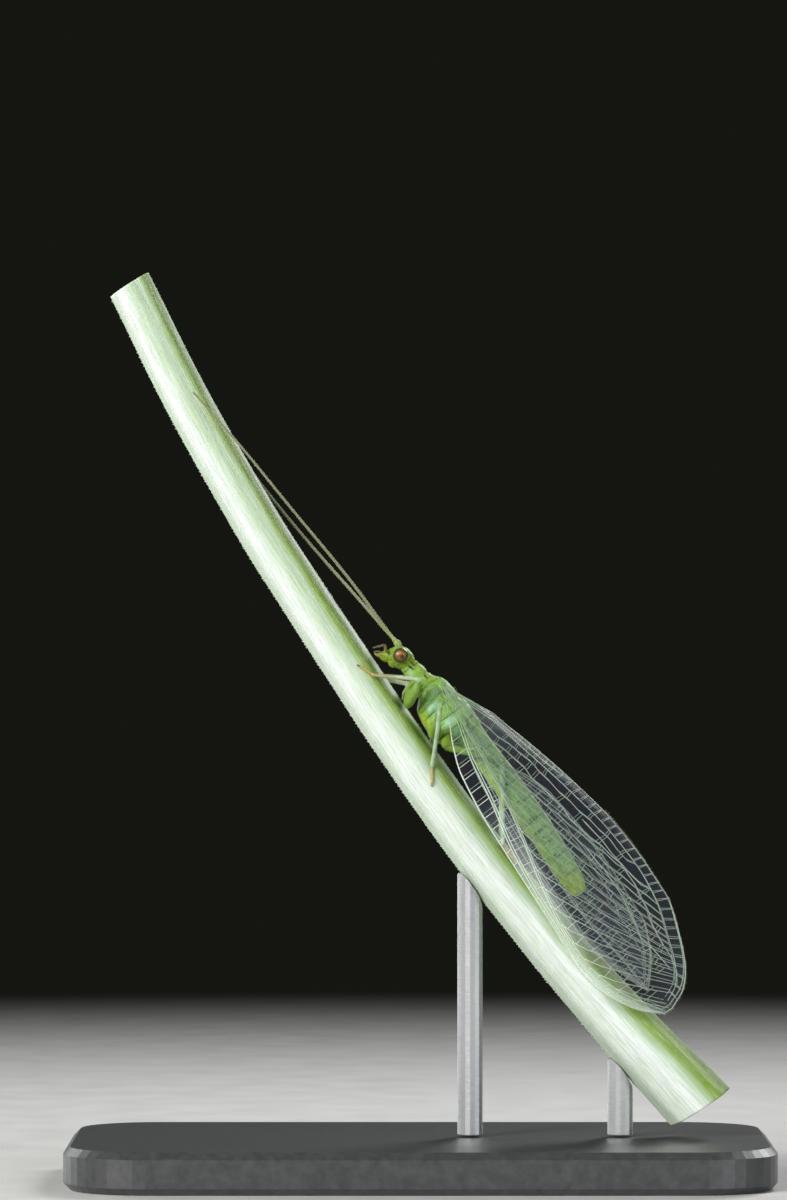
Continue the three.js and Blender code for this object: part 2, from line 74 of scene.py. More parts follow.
# Trunk, from the neck to the tail's tip: (x, size)
TRUNK_START, TRUNK_END = -1.82, 8.26
TRUNK_TOP = [(-1.82, -0.24), (-1.3, -0.15), (-1.05, -0.02), (-0.8, 0.2), (-0.45, 0.3), (0.1, 0.32),
             (0.35, 0.46), (0.9, 0.48), (1.5, 0.44), (3.5, 0.58), (5.5, 0.66), (7.4, 0.6),
             (8.1, 0.48), (8.26, 0.3)]
TRUNK_UNDERSIDE = [(-1.82, -0.88), (-1.1, -0.84), (-0.95, -0.66), (-0.6, -0.96), (-0.25, -1.22),
                   (0.4, -1.3), (0.9, -1.28), (1.2, -1.06), (1.6, -0.54), (3.5, -0.46),
                   (5.5, -0.33), (7.6, -0.26), (8.26, -0.1)]
TRUNK_HALF_WIDTH = [(-1.82, 0.3), (-1.3, 0.36), (-0.98, 0.34), (-0.55, 0.48), (0, 0.52),
                    (0.9, 0.47), (1.5, 0.34), (2.8, 0.34), (4.5, 0.41), (7.4, 0.38), (8.26, 0.16)]
TRUNK_GRID = (420, 56)
ABDOMEN_START = 1.36
ABDOMEN_RINGS = 9
RING_DEPTH = 0.056
# Distances from the middle: where the flanks' colours end, where their grooves lie, where hair is
# a leg's
TRUNK_REACH = 0.66
TRUNK_FLANK = (0.12, 0.62)
LEG_OUT = 0.56

# Head: the middle line of its side view, and its size about that line
HEAD_LINE = [(-1.75, -0.56), (-2.02, -0.6), (-2.26, -0.68), (-2.44, -0.86), (-2.57, -1.06),
             (-2.7, -1.22), (-2.84, -1.34)]
HEAD_HEIGHTS = [0.22, 0.34, 0.41, 0.33, 0.2, 0.13, 0.05]
HEAD_HALF_WIDTHS = [0.26, 0.37, 0.42, 0.38, 0.29, 0.21, 0.1]
HEAD_GRID = (60, 48)
EYE_RADIUS = 0.285
EYE_RIM_RADIUS = 0.262
EYE_RIM_THICKNESS = 0.05
EYE_CLEARANCE = 0.34
EYE_X, EYE_OUT, EYE_Z = -2.29, 0.4, -0.62

# Antennae: the whip, then the two thick joints at its foot, all as (x, out, z)
ANTENNA_PATHS = {
    "left": [(-2.86, 0.3, -0.5), (-3.1, 0.3, -0.52), (-5.2, 0.5, -0.64), (-8.7, 0.8, -1.02),
             (-12.3, 1.03, -1.42), (-14.1, 1.2, -1.69)],
    "right": [(-2.86, 0.3, -0.5), (-3.1, 0.3, -0.54), (-4.3, 0.45, -0.71), (-7.8, 0.85, -1.22),
              (-11.5, 1.16, -1.6), (-13.6, 1.22, -1.75)],
}
SCAPE = [(-2.5, 0.2, -0.5), (-2.68, 0.26, -0.48), (-2.82, 0.29, -0.49)]
SCAPE_RADII = [(0, 0.09), (0.4, 0.125), (0.8, 0.12), (1, 0.085)]
PEDICEL = [(-2.8, 0.29, -0.49), (-2.86, 0.3, -0.5), (-2.94, 0.3, -0.505)]
PEDICEL_RADII = [(0, 0.07), (0.5, 0.082), (1, 0.06)]
ANTENNA_RADIUS = 0.058
ANTENNA_TIP_RADIUS = 0.034
ANTENNA_SEGMENTS = 92

# Palps beside the mouth: line, joints, radius
PALPS = [
    ([(-2.66, 0.13, -1.04), (-2.79, 0.18, -0.93), (-2.89, 0.2, -0.91), (-2.96, 0.2, -1.06),
      (-3.04, 0.18, -1.28)], 5, 0.056),
    ([(-2.68, 0.1, -1.16), (-2.8, 0.15, -1.18), (-2.91, 0.15, -1.34)], 3, 0.042),
]

# Legs: root, coxa's end, knee, ankle and foot's tip as (x, out, z)
LEGS = {
    "leg_fore_left": [(-1.2, .15, -.6), (-.68, .57, -1.38), (-1.2, 1.25, -.5), (-2.2, 1.16, -1.46),
                      (-2.74, 1.13, -1.89)],
    "leg_fore_right": [(-1.2, .15, -.6), (-.92, .6, -1.3), (-1.28, 1.22, -.96), (-2.05, 1.14, -1.5),
                       (-2.46, 1.1, -1.84)],
    "leg_mid_left": [(.35, .2, -.8), (.7, .62, -1.22), (0, 1.72, -.44), (1.6, 1.32, -1.53),
                     (2.13, 1.2, -2.13)],
    "leg_mid_right": [(.35, .2, -.8), (.7, .62, -1.22), (-.05, 1.68, -.6), (1.5, 1.32, -1.6),
                      (2, 1.2, -2.15)],
    "leg_hind_left": [(.95, .2, -.7), (1.35, .7, -1), (2.85, .51, .34), (5.3, .76, -.68),
                      (6.15, .6, -1.04)],
    "leg_hind_right": [(.95, .2, -.7), (1.35, .7, -1), (2.78, .51, .32), (5.2, .76, -.68),
                       (6, .6, -1.05)],
}
COXA_RADIUS = 0.22
FEMUR_RADII = {"fore": 0.17, "mid": 0.13, "hind": 0.13}
TIBIA_RADIUS = 0.08
TARSUS_RADIUS = 0.048
TARSUS_PARTS = 5
CLAW_LIFTS = [.05, .055, .055, .05, .045, .04, .03, .02]

# Flesh at the wings' hinges: line as (x, out, z), radius at the body
WING_HINGES = [
    ([(-0.4, 0.4, -0.04), (-0.58, 0.52, 0.02), (-0.76, 0.6, 0.05)], 0.15),
    ([(0.78, 0.36, -0.08), (0.9, 0.48, -0.06), (1.02, 0.6, -0.04)], 0.12),
]

# Stem
STEM_START, STEM_END = -18.6, 17
STEM_MIDDLE_Z = [(-18.6, -1.53), (-13, -2.13), (-7.1, -2.39), (-1.5, -2.37), (3.6, -2.21),
                 (8.9, -1.71), (13, -1.14), (17, -0.42)]
STEM_RADIUS = [(-18.6, 0.8), (-11, 0.83), (0, 0.9), (5, 0.94), (10.7, 1.04), (17, 1.24)]
STEM_RIBS = 8
STEM_RIB_HEIGHT = 0.05
STEM_GRID = (620, 96)
STEM_TEETH_SPACING = 0.13

# Wings: the roof that they lie on, then each wing's outline, (x, z) in the side view
ROOF_RIDGE = [(-.85, .92), (.4, .95), (1.4, 1.14), (2.85, 1.6), (5, 2.22), (7, 2.64), (8.8, 2.78),
              (13.3, 2.78)]
ROOF_FOOT = [(-.85, -.12), (0, -.2), (.4, -.34), (1.4, -.8), (2.5, -1.12), (4.5, -1.28),
             (8.5, -1.31), (10.3, -1.38), (13.3, -1.38)]
ROOF_HALF_WIDTH = [(-.85, .98), (0, 1.1), (.6, 1.54), (1.6, 2.02), (2.85, 2.22), (7.5, 2.25),
                   (10, 2.1), (11.8, 1.85), (13.3, 1.5)]
ROOF_ROUNDNESS = [(-.85, 2.4), (3, 2.4), (5.5, 2), (8.5, 1.6), (13.3, 1.4)]
RIDGE_THICKNESS = [(-.85, .4), (2.85, .46), (5, .6), (8.5, .75), (13.3, .8)]
RIDGE_HALF_GAP = 0.06
MEMBRANE_ROOM = 0.4
TIP_CROWDING = 1.2
HINGE_REACH = 1.5
WINGS = {
    "forewing": {
        "start": -0.85, "end": 13.42, "lean": 0.54, "inset": 0.06, "hinge": (0.56, 0.04),
        "upper": [(-.85, .25), (0, .43), (.7, .74), (1.4, 1.1), (2.85, 1.6), (5, 2.22), (7, 2.64),
                  (8.8, 2.78), (10, 2.68), (11.4, 2.29), (12.4, 1.88), (13.1, 1.32), (13.42, .66)],
        "lower": [(-.85, -.12), (0, -.2), (.4, -.34), (1.4, -.8), (2.5, -1.12), (4.5, -1.28),
                  (8.5, -1.31), (10.3, -1.38), (11.3, -1.2), (12.2, -.78), (12.9, -.3),
                  (13.42, .3)],
        "subcosta": [(-.7, .02), (.4, -.12), (1.07, -.28), (2.14, -.53), (3.56, -.71),
                     (5.7, -1.07), (7.1, -1.17), (9, -1.2), (10.3, -1.25), (11.4, -1.02),
                     (12.3, -.58), (13, -.06), (13.4, .31)],
        "sector": [(-.5, .06), (1.07, -.1), (2.14, -.14), (3.9, -.28), (5.3, -.5), (7.1, -.85),
                   (8.9, -1.06), (10.3, -1.02), (11.4, -.78), (12.3, -.36), (13, .12), (13.4, .4)],
        "arches": [[(-.4, .26), (.71, .36), (2.14, .78), (3.2, 1.15), (4.63, 1.42), (5.7, 1.68),
                    (7.1, 2.02), (8.2, 2.16)],
                   [(-.4, .22), (1.07, .22), (2.14, .5), (3.2, .86), (3.9, .93), (5.34, 1.25),
                    (6.05, 1.3), (7.1, 1.62), (8.54, 1.98), (9.2, 2.1)]],
        "rim": [(-.4, .03), (1, .2), (3, .36), (6, .42), (11, .42), (13.42, .28)],
        "branches": 16, "first": (1.3, 9.6), "last": (12.4, 13.34),
        "cell": 0.46, "rung": 0.36, "rungs_from": 3.2, "shade": 1.0,
        "arcs": [(0.85, 6.0, 13.0), (1.45, 6.8, 12.6)], "sheen_and_milk": (0.82, 1.0),
    },
    "hindwing": {
        "start": 0.85, "end": 12.4, "lean": 0.36, "inset": 0.66, "hinge": (0.5, -0.03),
        "upper": [(.85, .08), (1.4, .12), (2.85, .36), (3.8, .85), (5, 1.3), (7, 1.78),
                  (8.9, 1.75), (10.3, 1.5), (11.4, 1.08), (12, .66), (12.4, .3)],
        "lower": [(.85, -.1), (1.4, -.36), (3.5, -.72), (7, -.84), (9.6, -.74), (10.7, -.46),
                  (11.6, -.12), (12, .05), (12.4, .24)],
        "subcosta": [(.95, -.05), (2.2, -.3), (3.5, -.5), (5.5, -.64), (7.5, -.7), (9.4, -.64),
                     (10.6, -.38), (11.6, -.04), (12.3, .24)],
        "sector": [(1, -.02), (2.2, -.12), (3.6, -.16), (5.5, -.24), (7.5, -.3), (9.2, -.2),
                   (10.6, .02), (11.6, .18), (12.35, .27)],
        "arches": [[(1, .03), (2.4, .16), (4, .56), (5.5, .92), (7, 1.1), (8.5, 1.16)],
                   [(1, 0), (2.6, .02), (4.2, .2), (6, .5), (7.8, .72), (9.4, .82)]],
        "rim": [(.85, .02), (2.5, .14), (5, .32), (9, .34), (12.4, .15)],
        "branches": 9, "first": (2.0, 8.9), "last": (11.3, 12.3),
        "cell": 0.6, "rung": 0.42, "rungs_from": 2.2, "shade": 0.62,
        "arcs": [(0.75, 6.0, 11.9)], "sheen_and_milk": (0.9, 0.6),
    },
}
MEMBRANE_GRID = (150, 36)
# How far the Film value reaches: the painted sheen along the costa and the milkier base
FILM_TINT = 0.34
COSTA_RADIUS = 0.03
MAIN_VEIN_RADIUS = 0.026
BRANCH_RADIUS = 0.0155
CROSSVEIN_RADIUS = 0.0115

# Fineness of the fused skin
SKIN_VOXEL = 0.021

# Lengths of the hair on the body, counts of hairs, and what the random draws start from
HAIR_LENGTHS = {"trunk": 0.075, "head": 0.06, "back": 0.12, "plate": 0.05, "coxa": 0.05,
                "femur": 0.06, "tibia": 0.085, "tarsus": 0.05}
BODY_HAIRS = 4000
FEELER_HAIRS = 1400
WING_HAIRS = 1500
STEM_HAIRS = 2600
HAIR_PATCH = 0.003
SEEDS = {"forewing": 3, "hindwing": 7, "body": 11, "stem": 23, "antenna_left": 17,
         "antenna_right": 18}


def srgb(red, green, blue):
    """A colour given as on a screen, 0 to 255, in the linear numbers that a shader takes."""
    share = np.array([red, green, blue], float) / 255
    return np.where(share <= 0.04045, share / 12.92, ((share + 0.055) / 1.055) ** 2.4)


# Colours
HEAD_GREEN = srgb(122, 148, 34)
FACE_PALE = srgb(136, 158, 82)
NECK_GREEN = srgb(124, 158, 60)
THORAX_GREEN = srgb(124, 164, 84)
THORAX_PATCH = srgb(144, 188, 154)
ABDOMEN_GREEN = srgb(132, 172, 108)
ABDOMEN_BACK = srgb(150, 126, 92)
ABDOMEN_BELLY = srgb(152, 176, 56)
COXA_GREEN = srgb(112, 142, 42)
TIBIA_PALE = srgb(164, 190, 158)
SHIN_OLIVE = srgb(136, 124, 76)
# Painted light: the far fore leg's colour, whiter than the near one's so that it looks lit in its shade
FAR_LEG_PAINTED_LIGHT = srgb(228, 232, 216)
TARSUS_TAN = srgb(186, 156, 98)
CLAW_BROWN = srgb(96, 62, 34)
EYE_RIM_GREEN = FACE_PALE * 0.6 + HEAD_GREEN * 0.4
EYE_BROWN = srgb(134, 80, 20)
MARK_DARK = srgb(34, 38, 22)
MOUTH_TAN = srgb(126, 106, 28)
PALP_DARK = srgb(66, 62, 34)
ANTENNA_KHAKI = srgb(120, 126, 90)
VEIN_PALE = srgb(144, 163, 152)
VEIN_BRIGHT = srgb(206, 220, 206)
VEIN_GREEN = srgb(110, 142, 92)
STEM_PALE = srgb(227, 233, 233)
STEM_PITH = srgb(216, 224, 190)
STEM_MID = srgb(186, 205, 180)
STEM_GREEN = srgb(122, 152, 54)
STEM_DEEP = srgb(84, 114, 6)

# Spots of the eye, painted light: a painted highlight and a painted dark pseudo-pupil beside it,
# both on the side that faces out. Each: middle as (x, out, z), where it ends, softness, colour.
# Then the bands that follow each other towards its rim: how far out each ends, softness, colour.
EYE_PAINTED_LIGHT_SPOTS = [((0.34, 0.9, 0.16), 0.92, 0.06, srgb(56, 30, 6)),
             ((-0.34, 0.86, 0.16), 0.945, 0.05, srgb(198, 118, 60))]
EYE_BANDS = [(0.88, 0.14, srgb(96, 82, 18)), (0.76, 0.14, srgb(62, 72, 24)),
             (0.42, 0.12, srgb(104, 118, 46))]
# Oval bodies that give the trunk and head their plates: centre as (x, out, z), half sizes, tip in
# degrees, colour. Those with an out above nothing are made on both sides.
LUMPS = [
    (-2.12, 0, -0.42, 0.26, 0.3, 0.19, 12, HEAD_GREEN),
    (-2.5, 0, -0.6, 0.16, 0.25, 0.2, 40, FACE_PALE),
    (-2.42, 0.2, -0.95, 0.2, 0.14, 0.17, 30, HEAD_GREEN),
    (-2.25, 0.16, -1, 0.2, 0.16, 0.15, -16, HEAD_GREEN),
    (-2.62, 0, -0.98, 0.16, 0.18, 0.11, 58, FACE_PALE),
    (-2.63, 0, -1.14, 0.17, 0.17, 0.12, 46, HEAD_GREEN * 0.4 + MOUTH_TAN * 0.6),
    (-2.75, 0, -1.24, 0.16, 0.12, 0.07, 56, MOUTH_TAN),
    (-2.7, 0.1, -1.26, 0.16, 0.05, 0.07, 40, MOUTH_TAN),
    (-2.5, 0.07, -1.16, 0.19, 0.1, 0.1, 30, MOUTH_TAN * 0.4 + HEAD_GREEN * 0.6),
    (-2.56, 0.21, -0.5, 0.1, 0.13, 0.13, 0, FACE_PALE),
    (-1.93, 0.12, -0.5, 0.2, 0.2, 0.24, 0, HEAD_GREEN),
    (-1.42, 0, -0.36, 0.36, 0.36, 0.23, 6, NECK_GREEN),
    (-1.1, 0, -0.3, 0.17, 0.37, 0.24, 20, NECK_GREEN),
    (-1.35, 0.2, -0.62, 0.34, 0.17, 0.2, 0, NECK_GREEN),
    (-0.88, 0.2, -0.8, 0.24, 0.18, 0.16, -45, COXA_GREEN),
    (-0.62, 0.17, -0.02, 0.25, 0.2, 0.26, 30, THORAX_GREEN),
    (-0.2, 0.22, 0.08, 0.4, 0.25, 0.26, 8, THORAX_GREEN),
    (0.3, 0, 0.22, 0.18, 0.2, 0.24, 0, NECK_GREEN),
    (0.68, 0.2, 0.22, 0.3, 0.22, 0.26, 0, THORAX_GREEN),
    (1.12, 0, 0.3, 0.17, 0.2, 0.2, 0, THORAX_GREEN),
    (-0.5, 0.32, -0.5, 0.2, 0.19, 0.38, 25, THORAX_GREEN),
    (-0.12, 0.36, -0.62, 0.2, 0.19, 0.48, 20, THORAX_GREEN),
    (0.28, 0.34, -0.7, 0.2, 0.19, 0.46, 15, THORAX_GREEN),
    (0.7, 0.32, -0.56, 0.22, 0.19, 0.46, 12, THORAX_GREEN),
    (1.1, 0.25, -0.44, 0.2, 0.17, 0.38, 10, THORAX_GREEN),
    (-0.5, 0.48, -0.02, 0.24, 0.16, 0.12, 10, THORAX_GREEN),
    (0.85, 0.45, 0, 0.22, 0.15, 0.12, 6, THORAX_GREEN),
    (8.1, 0, 0.26, 0.22, 0.24, 0.19, 0, ABDOMEN_BELLY),
    (8.12, 0, -0.02, 0.2, 0.2, 0.13, 0, ABDOMEN_BELLY),
]
# Greens along the trunk
TRUNK_SHADES = [(-2.0, NECK_GREEN), (-1.0, NECK_GREEN), (-0.7, THORAX_GREEN), (1.2, THORAX_GREEN),
                (1.8, ABDOMEN_GREEN), (8.4, ABDOMEN_GREEN)]
# Fields of colour on the thorax's sides: centre as (x, z), half sizes, tip, strength, colour
THORAX_FIELDS = [
    ((-0.1, -0.62), (0.2, 0.3), 12, 0.85, THORAX_PATCH),
    ((-0.5, -0.3), (0.14, 0.26), 20, 0.5, THORAX_PATCH),
    ((0.66, -0.42), (0.17, 0.3), 8, 0.7, THORAX_PATCH),
    ((1.12, -0.36), (0.13, 0.3), 8, 0.55, THORAX_PATCH),
    ((-0.3, 0.2), (0.3, 0.16), 10, 0.5, THORAX_PATCH),
    ((0.0, -1.14), (0.5, 0.17), 0, 0.8, ABDOMEN_BELLY),
    ((0.8, -1.1), (0.4, 0.16), 0, 0.7, ABDOMEN_BELLY),
    ((0.1, -0.05), (0.22, 0.1), 0, 0.5, ABDOMEN_BELLY),
    ((-1.6, -0.66), (0.22, 0.13), 20, 0.3, THORAX_PATCH),
    ((-2.66, -1.16), (0.1, 0.1), 0, 0.4, MOUTH_TAN),
]
# Grooves between the plates in the side view: (x, z) lines, half width, depth. The skin is pressed in
# along them and its colour darkened there as painted shade.
GROOVES = [
    ([(-0.86, 0.1), (-0.9, -0.3), (-0.8, -0.75)], 0.035, 0.035),
    ([(-0.42, 0.05), (-0.36, -0.4), (-0.16, -1.1)], 0.024, 0.03),
    ([(-0.02, 0.0), (0.02, -0.4), (0.14, -1.15)], 0.022, 0.028),
    ([(0.42, 0.2), (0.46, -0.3), (0.5, -1.15)], 0.026, 0.034),
    ([(0.88, -0.1), (0.9, -0.5), (0.98, -1.1)], 0.022, 0.026),
    ([(1.28, 0.35), (1.32, -0.2), (1.3, -0.9)], 0.03, 0.03),
    ([(-0.7, -0.12), (-0.3, -0.16), (0.3, -0.14), (0.9, -0.16)], 0.02, 0.022),
    ([(-1.72, -0.1), (-1.74, -0.5), (-1.68, -0.85)], 0.03, 0.03),
    ([(-2.56, -0.76), (-2.5, -1.0), (-2.36, -1.14)], 0.018, 0.02),
    ([(-2.5, -1.1), (-2.64, -1.18), (-2.84, -1.32)], 0.016, 0.02),
    ([(-2.02, -0.36), (-1.96, -0.62), (-2.02, -0.9)], 0.02, 0.02),
    ([(1.5, -0.2), (3.5, -0.12), (5.5, -0.04), (7.9, 0.02)], 0.02, 0.016),
]
# Dark marks on both sides: centre as (x, z), half sizes, tip in degrees, strength
MARKS = [
    ((-2.6, -0.92), (0.07, 0.06), 0, 1.0),
    ((-2.7, -0.84), (0.035, 0.03), 0, 0.8),
    ((-1.82, -0.42), (0.14, 0.034), 8, 0.9),
    ((-1.72, -0.54), (0.13, 0.036), 22, 1.0),
    ((-1.17, -0.28), (0.085, 0.04), 4, 0.95),
    ((0.9, 0.3), (0.03, 0.24), 4, 0.7),
    ((1.02, 0.1), (0.11, 0.028), -20, 0.45),
    ((1.35, -0.62), (0.03, 0.08), 0, 0.5),
    ((-2.76, -1.12), (0.05, 0.03), 50, 0.6),
    ((-2.68, -1.2), (0.05, 0.025), 40, 0.45),
    ((-2.83, -1.28), (0.07, 0.03), 50, 0.6),
    ((3.05, 0.0), (0.035, 0.03), 0, 0.5),
    ((4.65, 0.14), (0.05, 0.1), 12, 0.35),
    ((5.17, 0.1), (0.1, 0.3), 6, 0.45),
    ((5.62, 0.16), (0.07, 0.26), 6, 0.5),
    ((6.12, 0.18), (0.06, 0.22), 6, 0.4),
    ((6.75, 0.2), (0.04, 0.2), 6, 0.3),
]
# Marks at each ring of the abdomen: x from the ring, z, rise from ring to ring, then as above
RING_MARKS = [
    (-0.02, 0.3, 0, (0.05, 0.26), 4, 0.32),
    (-0.06, -0.02, 0.02, (0.04, 0.04), 0, 0.9),
    (-0.45, 0.26, 0, (0.03, 0.03), 0, 0.4),
    (-0.3, -0.2, 0.02, (0.025, 0.025), 0, 0.5),
]
# Colours round the stem at four places along it: (degrees from its top, colour)
STEM_BANDS = {
    -18.6: [(0, STEM_MID), (16, STEM_GREEN), (28, STEM_DEEP), (42, STEM_GREEN), (62, STEM_MID),
            (92, STEM_MID), (120, STEM_PALE), (180, STEM_MID)],
    -6: [(0, STEM_MID), (15, STEM_PALE), (24, STEM_GREEN), (36, STEM_DEEP), (52, STEM_GREEN),
         (70, STEM_MID), (88, STEM_MID), (112, STEM_PALE), (180, STEM_MID)],
    8: [(0, STEM_MID), (12, STEM_GREEN), (24, STEM_DEEP), (36, STEM_DEEP), (52, STEM_GREEN),
        (70, STEM_MID), (88, STEM_PALE), (180, STEM_MID)],
    14: [(0, STEM_GREEN), (14, STEM_DEEP), (26, STEM_DEEP), (40, STEM_GREEN), (58, STEM_GREEN),
         (74, STEM_MID), (92, STEM_PALE), (180, STEM_MID)],
}
# Colours across the stem's cut faces: (share of the radius, colour)
CUT_SHADES = [(0.02, STEM_PITH), (0.3, STEM_PITH), (0.62, STEM_PITH), (0.8, STEM_MID),
              (0.87, STEM_GREEN), (0.97, STEM_MID)]


def to_world(points):
    """Level millimetres to the model's metres."""
    p = np.asarray(points, float)
    x = p[:, 0] * math.cos(SLOPE) + p[:, 2] * math.sin(SLOPE) + ANIMAL_X
    z = -p[:, 0] * math.sin(SLOPE) + p[:, 2] * math.cos(SLOPE) + ANIMAL_Z
    return np.column_stack([x, p[:, 1], z]) * MM


def between(t, step, start, start_slope, end, end_slope):
    """A smooth curve at t, from 0 to 1, between two ends that are a step apart."""
    return ((2 * t**3 - 3 * t**2 + 1) * start + (t**3 - 2 * t**2 + t) * step * start_slope
            + (3 * t**2 - 2 * t**3) * end + (t**3 - t**2) * step * end_slope)


def profile(keys):
    """A smooth line through (place, size) keys that never swings past a key."""
    at, size = np.array(keys, float).T
    step = np.diff(at)
    secant = np.diff(size) / step
    product = secant[:-1] * secant[1:]
    total = secant[:-1] + secant[1:]
    inner = np.where(product > 0, 2 * product / np.where(total == 0, 1, total), 0)
    slope = np.concatenate([secant[:1], inner, secant[-1:]])

    def value(x):
        x = np.clip(np.asarray(x, float), at[0], at[-1])
        i = np.clip(np.searchsorted(at, x, side="right") - 1, 0, len(step) - 1)
        return between((x - at[i]) / step[i], step[i], size[i], slope[i], size[i + 1], slope[i + 1])

    return value


def taper(keys, count):
    """count sizes along a part, from (share, size) keys."""
    return profile(keys)(np.linspace(0, 1, count))


def unit(vectors):
    length = np.linalg.norm(vectors, axis=-1, keepdims=True)
    return vectors / np.where(length == 0, 1, length)


def fade(value, start, width):
    """0 up to start and 1 past start + width. With a width below nothing it fades the other way."""
    return np.clip((value - start) / width, 0, 1)


def blend(first, second, share):
    """A colour between two for each point's share."""
    share = np.asarray(share)[:, None]
    return first * (1 - share) + second * share


def colours_along(keys, x):
    """The colour at each x on a line of (place, colour) keys."""
    places = [key[0] for key in keys]
    return np.stack([np.interp(x, places, [key[1][i] for key in keys]) for i in range(3)], axis=-1)


def turns(count):
    """Angles all round, evenly spaced."""
    return np.arange(count) * 2 * math.pi / count


def sided(points, side):
    """(x, out, z) points on one side of the body."""
    return np.array(points, float) * (1, side, 1)


def reach_along(points):
    """How far along a line each of its points is."""
    return np.concatenate([[0], np.cumsum(np.linalg.norm(np.diff(points, axis=0), axis=1))])


def smooth_path(points, count):
    """count points, evenly spaced, on a soft curve through a few."""
    points = np.asarray(points, float)
    reach = reach_along(points)
    slopes = np.gradient(points, reach, axis=0)
    at = np.linspace(0, reach[-1], count)
    i = np.clip(np.searchsorted(reach, at, side="right") - 1, 0, len(reach) - 2)
    step = (reach[i + 1] - reach[i])[:, None]
    t = (at - reach[i])[:, None] / step
    return between(t, step, points[i], slopes[i], points[i + 1], slopes[i + 1])


def ring_faces(rings, sides):
    """The faces of a tube of rings of points, whose two tips are its last two points."""
    faces = []
    for r in range(rings - 1):
        for s in range(sides):
            n = (s + 1) % sides
            faces.append((r * sides + s, r * sides + n, (r + 1) * sides + n, (r + 1) * sides + s))
    for s in range(sides):
        n = (s + 1) % sides
        faces.append((rings * sides, n, s))
        faces.append((rings * sides + 1, (rings - 1) * sides + s, (rings - 1) * sides + n))
    return faces


def loft(path, wide, high, sides, tips):
    """A closed body of oval rings about path. wide and high are each ring's half axes."""
    turn = turns(sides)[:, None]
    rings = path[:, None] + wide[:, None] * np.cos(turn) + high[:, None] * np.sin(turn)
    return np.vstack([rings.reshape(-1, 3), tips]), ring_faces(len(path), sides)


def sweep(path, radii, sides=12, up=(0, 0, 1), caps=3):
    """A closed tube along path with round ends of a few rings."""
    path = np.asarray(path, float)
    radii = np.broadcast_to(np.asarray(radii, float), (len(path),))
    along = unit(np.gradient(path, axis=0))
    bulge = math.pi / 2 * np.arange(1, caps + 1) / (caps + 1)
    first, last = along[0] * radii[0], along[-1] * radii[-1]
    centres = np.vstack([path[0] - np.outer(np.sin(bulge[::-1]), first), path,
                         path[-1] + np.outer(np.sin(bulge), last)])
    thick = np.concatenate([radii[0] * np.cos(bulge[::-1]), radii, radii[-1] * np.cos(bulge)])
    along = np.vstack([[along[0]] * caps, along, [along[-1]] * caps])
    up = np.array(up, float)
    if abs(along[0] @ up) > 0.92:
        up = np.array([1.0, 0, 0])
    wide = np.empty_like(centres)
    before = np.cross(up, along[0])
    for i, way in enumerate(along):
        before = before - way * (before @ way)
        before = before / np.linalg.norm(before)
        wide[i] = before
    thick = thick[:, None]
    return loft(centres, wide * thick, np.cross(along, wide) * thick, sides,
                [path[0] - first, path[-1] + last])


def oval(centre, radii, sides=28, rows=18, turn=0.0):
    """A closed oval body. turn tips it in the side view, in degrees."""
    a = math.radians(turn)
    polar = np.linspace(0, math.pi, rows + 2)[:, None]
    path = np.array(centre, float) + np.cos(polar) * (math.cos(a), 0, math.sin(a)) * radii[0]
    girth = np.sin(polar[1:-1])
    wide = girth * (0, radii[1], 0)
    high = girth * (-math.sin(a), 0, math.cos(a)) * radii[2]
    return loft(path[1:-1], wide, high, sides, path[[0, -1]])


def merged(parts):
    """Several (points, faces) as one."""
    points, faces, start = [], [], 0
    for some_points, some_faces in parts:
        points.append(some_points)
        faces.extend(tuple(i + start for i in face) for face in some_faces)
        start += len(some_points)
    return np.vstack(points), faces


def make_piece(name, points, faces, tints=None, world=False):
    """A smooth mesh object in metres from level millimetres, with a colour at each point if given."""
    mesh = bpy.data.meshes.new(name)
    placed = np.asarray(points, float) if world else to_world(points)
    mesh.from_pydata(placed.tolist(), [], faces)
    mesh.polygons.foreach_set("use_smooth", [True] * len(mesh.polygons))
    mesh.update()
    if tints is not None:
        full = np.ones((len(tints), 4), np.float32)
        full[:, :3] = tints
        layer = mesh.color_attributes.new("Tint", "FLOAT_COLOR", "POINT")
        layer.data.foreach_set("color", full.ravel())
    piece = bpy.data.objects.new(name, mesh)
    bpy.context.scene.collection.objects.link(piece)
    return piece


def add_layer(piece, name, kind, key, values):
    """Another value at each point for the material to read."""
    layer = piece.data.attributes.new(name, kind, "POINT")
    layer.data.foreach_set(key, np.asarray(values, np.float32).ravel())


def dress(piece, material, slot, *nodes):
    piece.data.materials.append(material)
    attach(piece, "root")
    if nodes:
        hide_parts(*nodes)


# Materials


